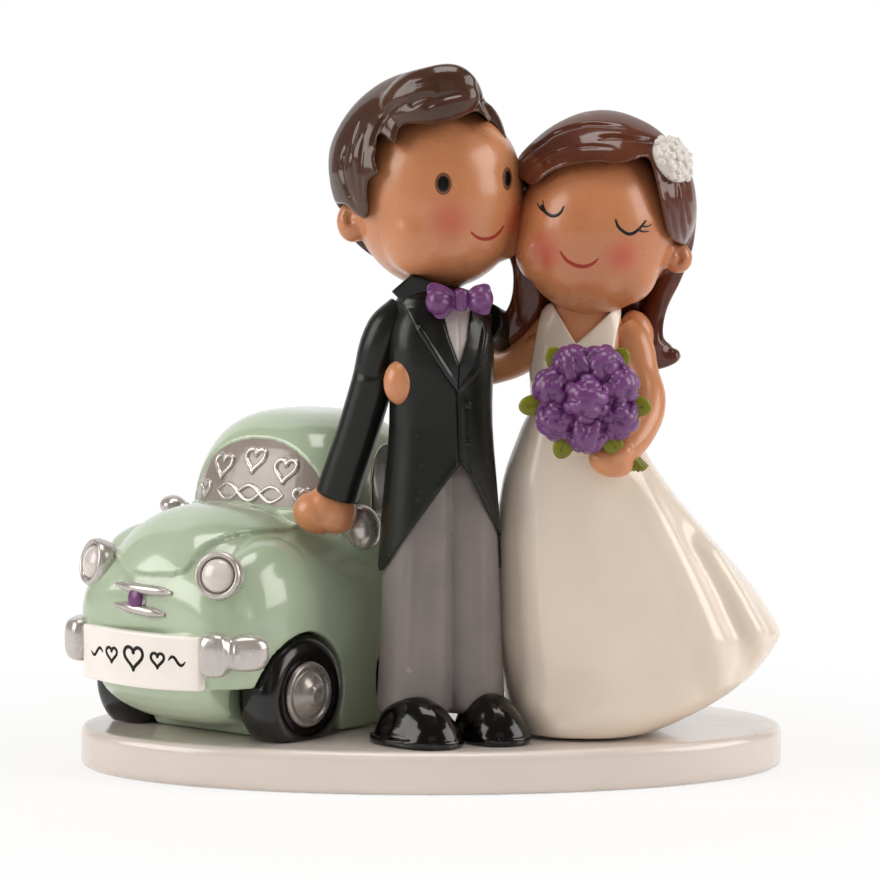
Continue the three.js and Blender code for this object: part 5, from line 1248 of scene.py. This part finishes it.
finished(makeGreenery(bouquetOptions), "leavesAndStems", "leaf", "bouquet_greenery")
print("bouquet made")

# strength of the surround, then each softbox: place, width, height, power and colour
lightOptions = {
    "world": 0.16,
    "boxes": [((-1.2, -0.34, 0.62), 0.9, 0.9, 11.6, "FFFBF6"), ((1.2, -0.25, 0.6), 0.9, 0.9, 11, "FFFBF6"),
        ((0, -0.1, 1.3), 0.75, 0.5, 6.2, "FFFBF6"), ((0.1, -1.5, 0.5), 0.8, 0.8, 0.6, "FFF6EC")],
}


def seenBy(tree, *rays):
    path = addNode(tree, "ShaderNodeLightPath")
    share = path.outputs[rays[0]]
    for ray in rays[1:]:
        share = addNode(tree, "ShaderNodeMath", {0: share, 1: path.outputs[ray]}, operation="MAXIMUM").outputs[0]
    return share


def makeSurround(strength):
    world = bpy.data.worlds.new("studio")
    bpy.context.scene.world = world
    world.use_nodes = True
    tree = world.node_tree
    tree.nodes.clear()
    lit = addNode(tree, "ShaderNodeBackground", {"Color": linear("FFF8F2"), "Strength": strength})
    white = addNode(tree, "ShaderNodeBackground", {"Color": (1, 1, 1, 1), "Strength": 1.0})
    seen = seenBy(tree, "Is Camera Ray")
    both = addNode(tree, "ShaderNodeMixShader", {0: seen, 1: lit.outputs[0], 2: white.outputs[0]})
    addNode(tree, "ShaderNodeOutputWorld", {"Surface": both.outputs[0]})


def whiteSheet(name, material, place, turn, reach):
    # white card: matt where it is lit, and plain white where the lens or a reflection looks at it from far enough
    clear()
    bpy.ops.mesh.primitive_plane_add(size=4, location=place, rotation=(radians(turn), 0, 0))
    sheet = bpy.context.object
    sheet.name = name
    card = bpy.data.materials.new(material)
    card.use_nodes = True
    tree = card.node_tree
    tree.nodes.clear()
    where = addNode(tree, "ShaderNodeTexCoord").outputs["Object"]
    seen = seenBy(tree, "Is Camera Ray", "Is Glossy Ray", "Is Transmission Ray")
    far = ramp(tree, gapTo(tree, where, (0, 0, 0)), (*reach, 0.8, 1.0))
    share = addNode(tree, "ShaderNodeMath", {0: seen, 1: far}, operation="MULTIPLY")
    matt = addNode(tree, "ShaderNodeBsdfDiffuse", {"Color": linear("F6F4F2")})
    glow = addNode(tree, "ShaderNodeEmission", {"Color": (1, 1, 1, 1), "Strength": 1.0})
    both = addNode(tree, "ShaderNodeMixShader", {0: share.outputs[0], 1: matt.outputs[0], 2: glow.outputs[0]})
    addNode(tree, "ShaderNodeOutputMaterial", {"Surface": both.outputs[0]})
    sheet.data.materials.append(card)


def softbox(place, width, height, power, colour):
    clear()
    bpy.ops.object.light_add(type="AREA", location=place)
    lamp = bpy.context.object
    lamp.data.shape = "RECTANGLE"
    lamp.data.size, lamp.data.size_y = width, height
    lamp.data.energy = power
    lamp.data.color = linear(colour)[:3]
    lamp.rotation_euler = (Vector(place) - Vector((0, 0, 0.08))).to_track_quat("Z", "Y").to_euler()


makeSurround(lightOptions["world"])
whiteSheet("floor", "whiteCard", (0, 0, 0), 0, (0.08, 0.2))
whiteSheet("backdrop", "whiteWall", (0, 2, 1.98), 90, (0.0, 0.01))
for box in lightOptions["boxes"]:
    softbox(*box)

clear()
bpy.ops.object.camera_add(location=photoView["eye"] * mm, rotation=(radians(90 - photoView["pitch"]), 0, 0))
camera = bpy.context.object
camera.data.sensor_width = 36
camera.data.lens = 36 * photoView["pixelsPerUnit"] / 880
camera.data.clip_end = 20
bpy.context.scene.camera = camera
bpy.context.scene.view_settings.view_transform = "Standard"
print("stage made")

clear()
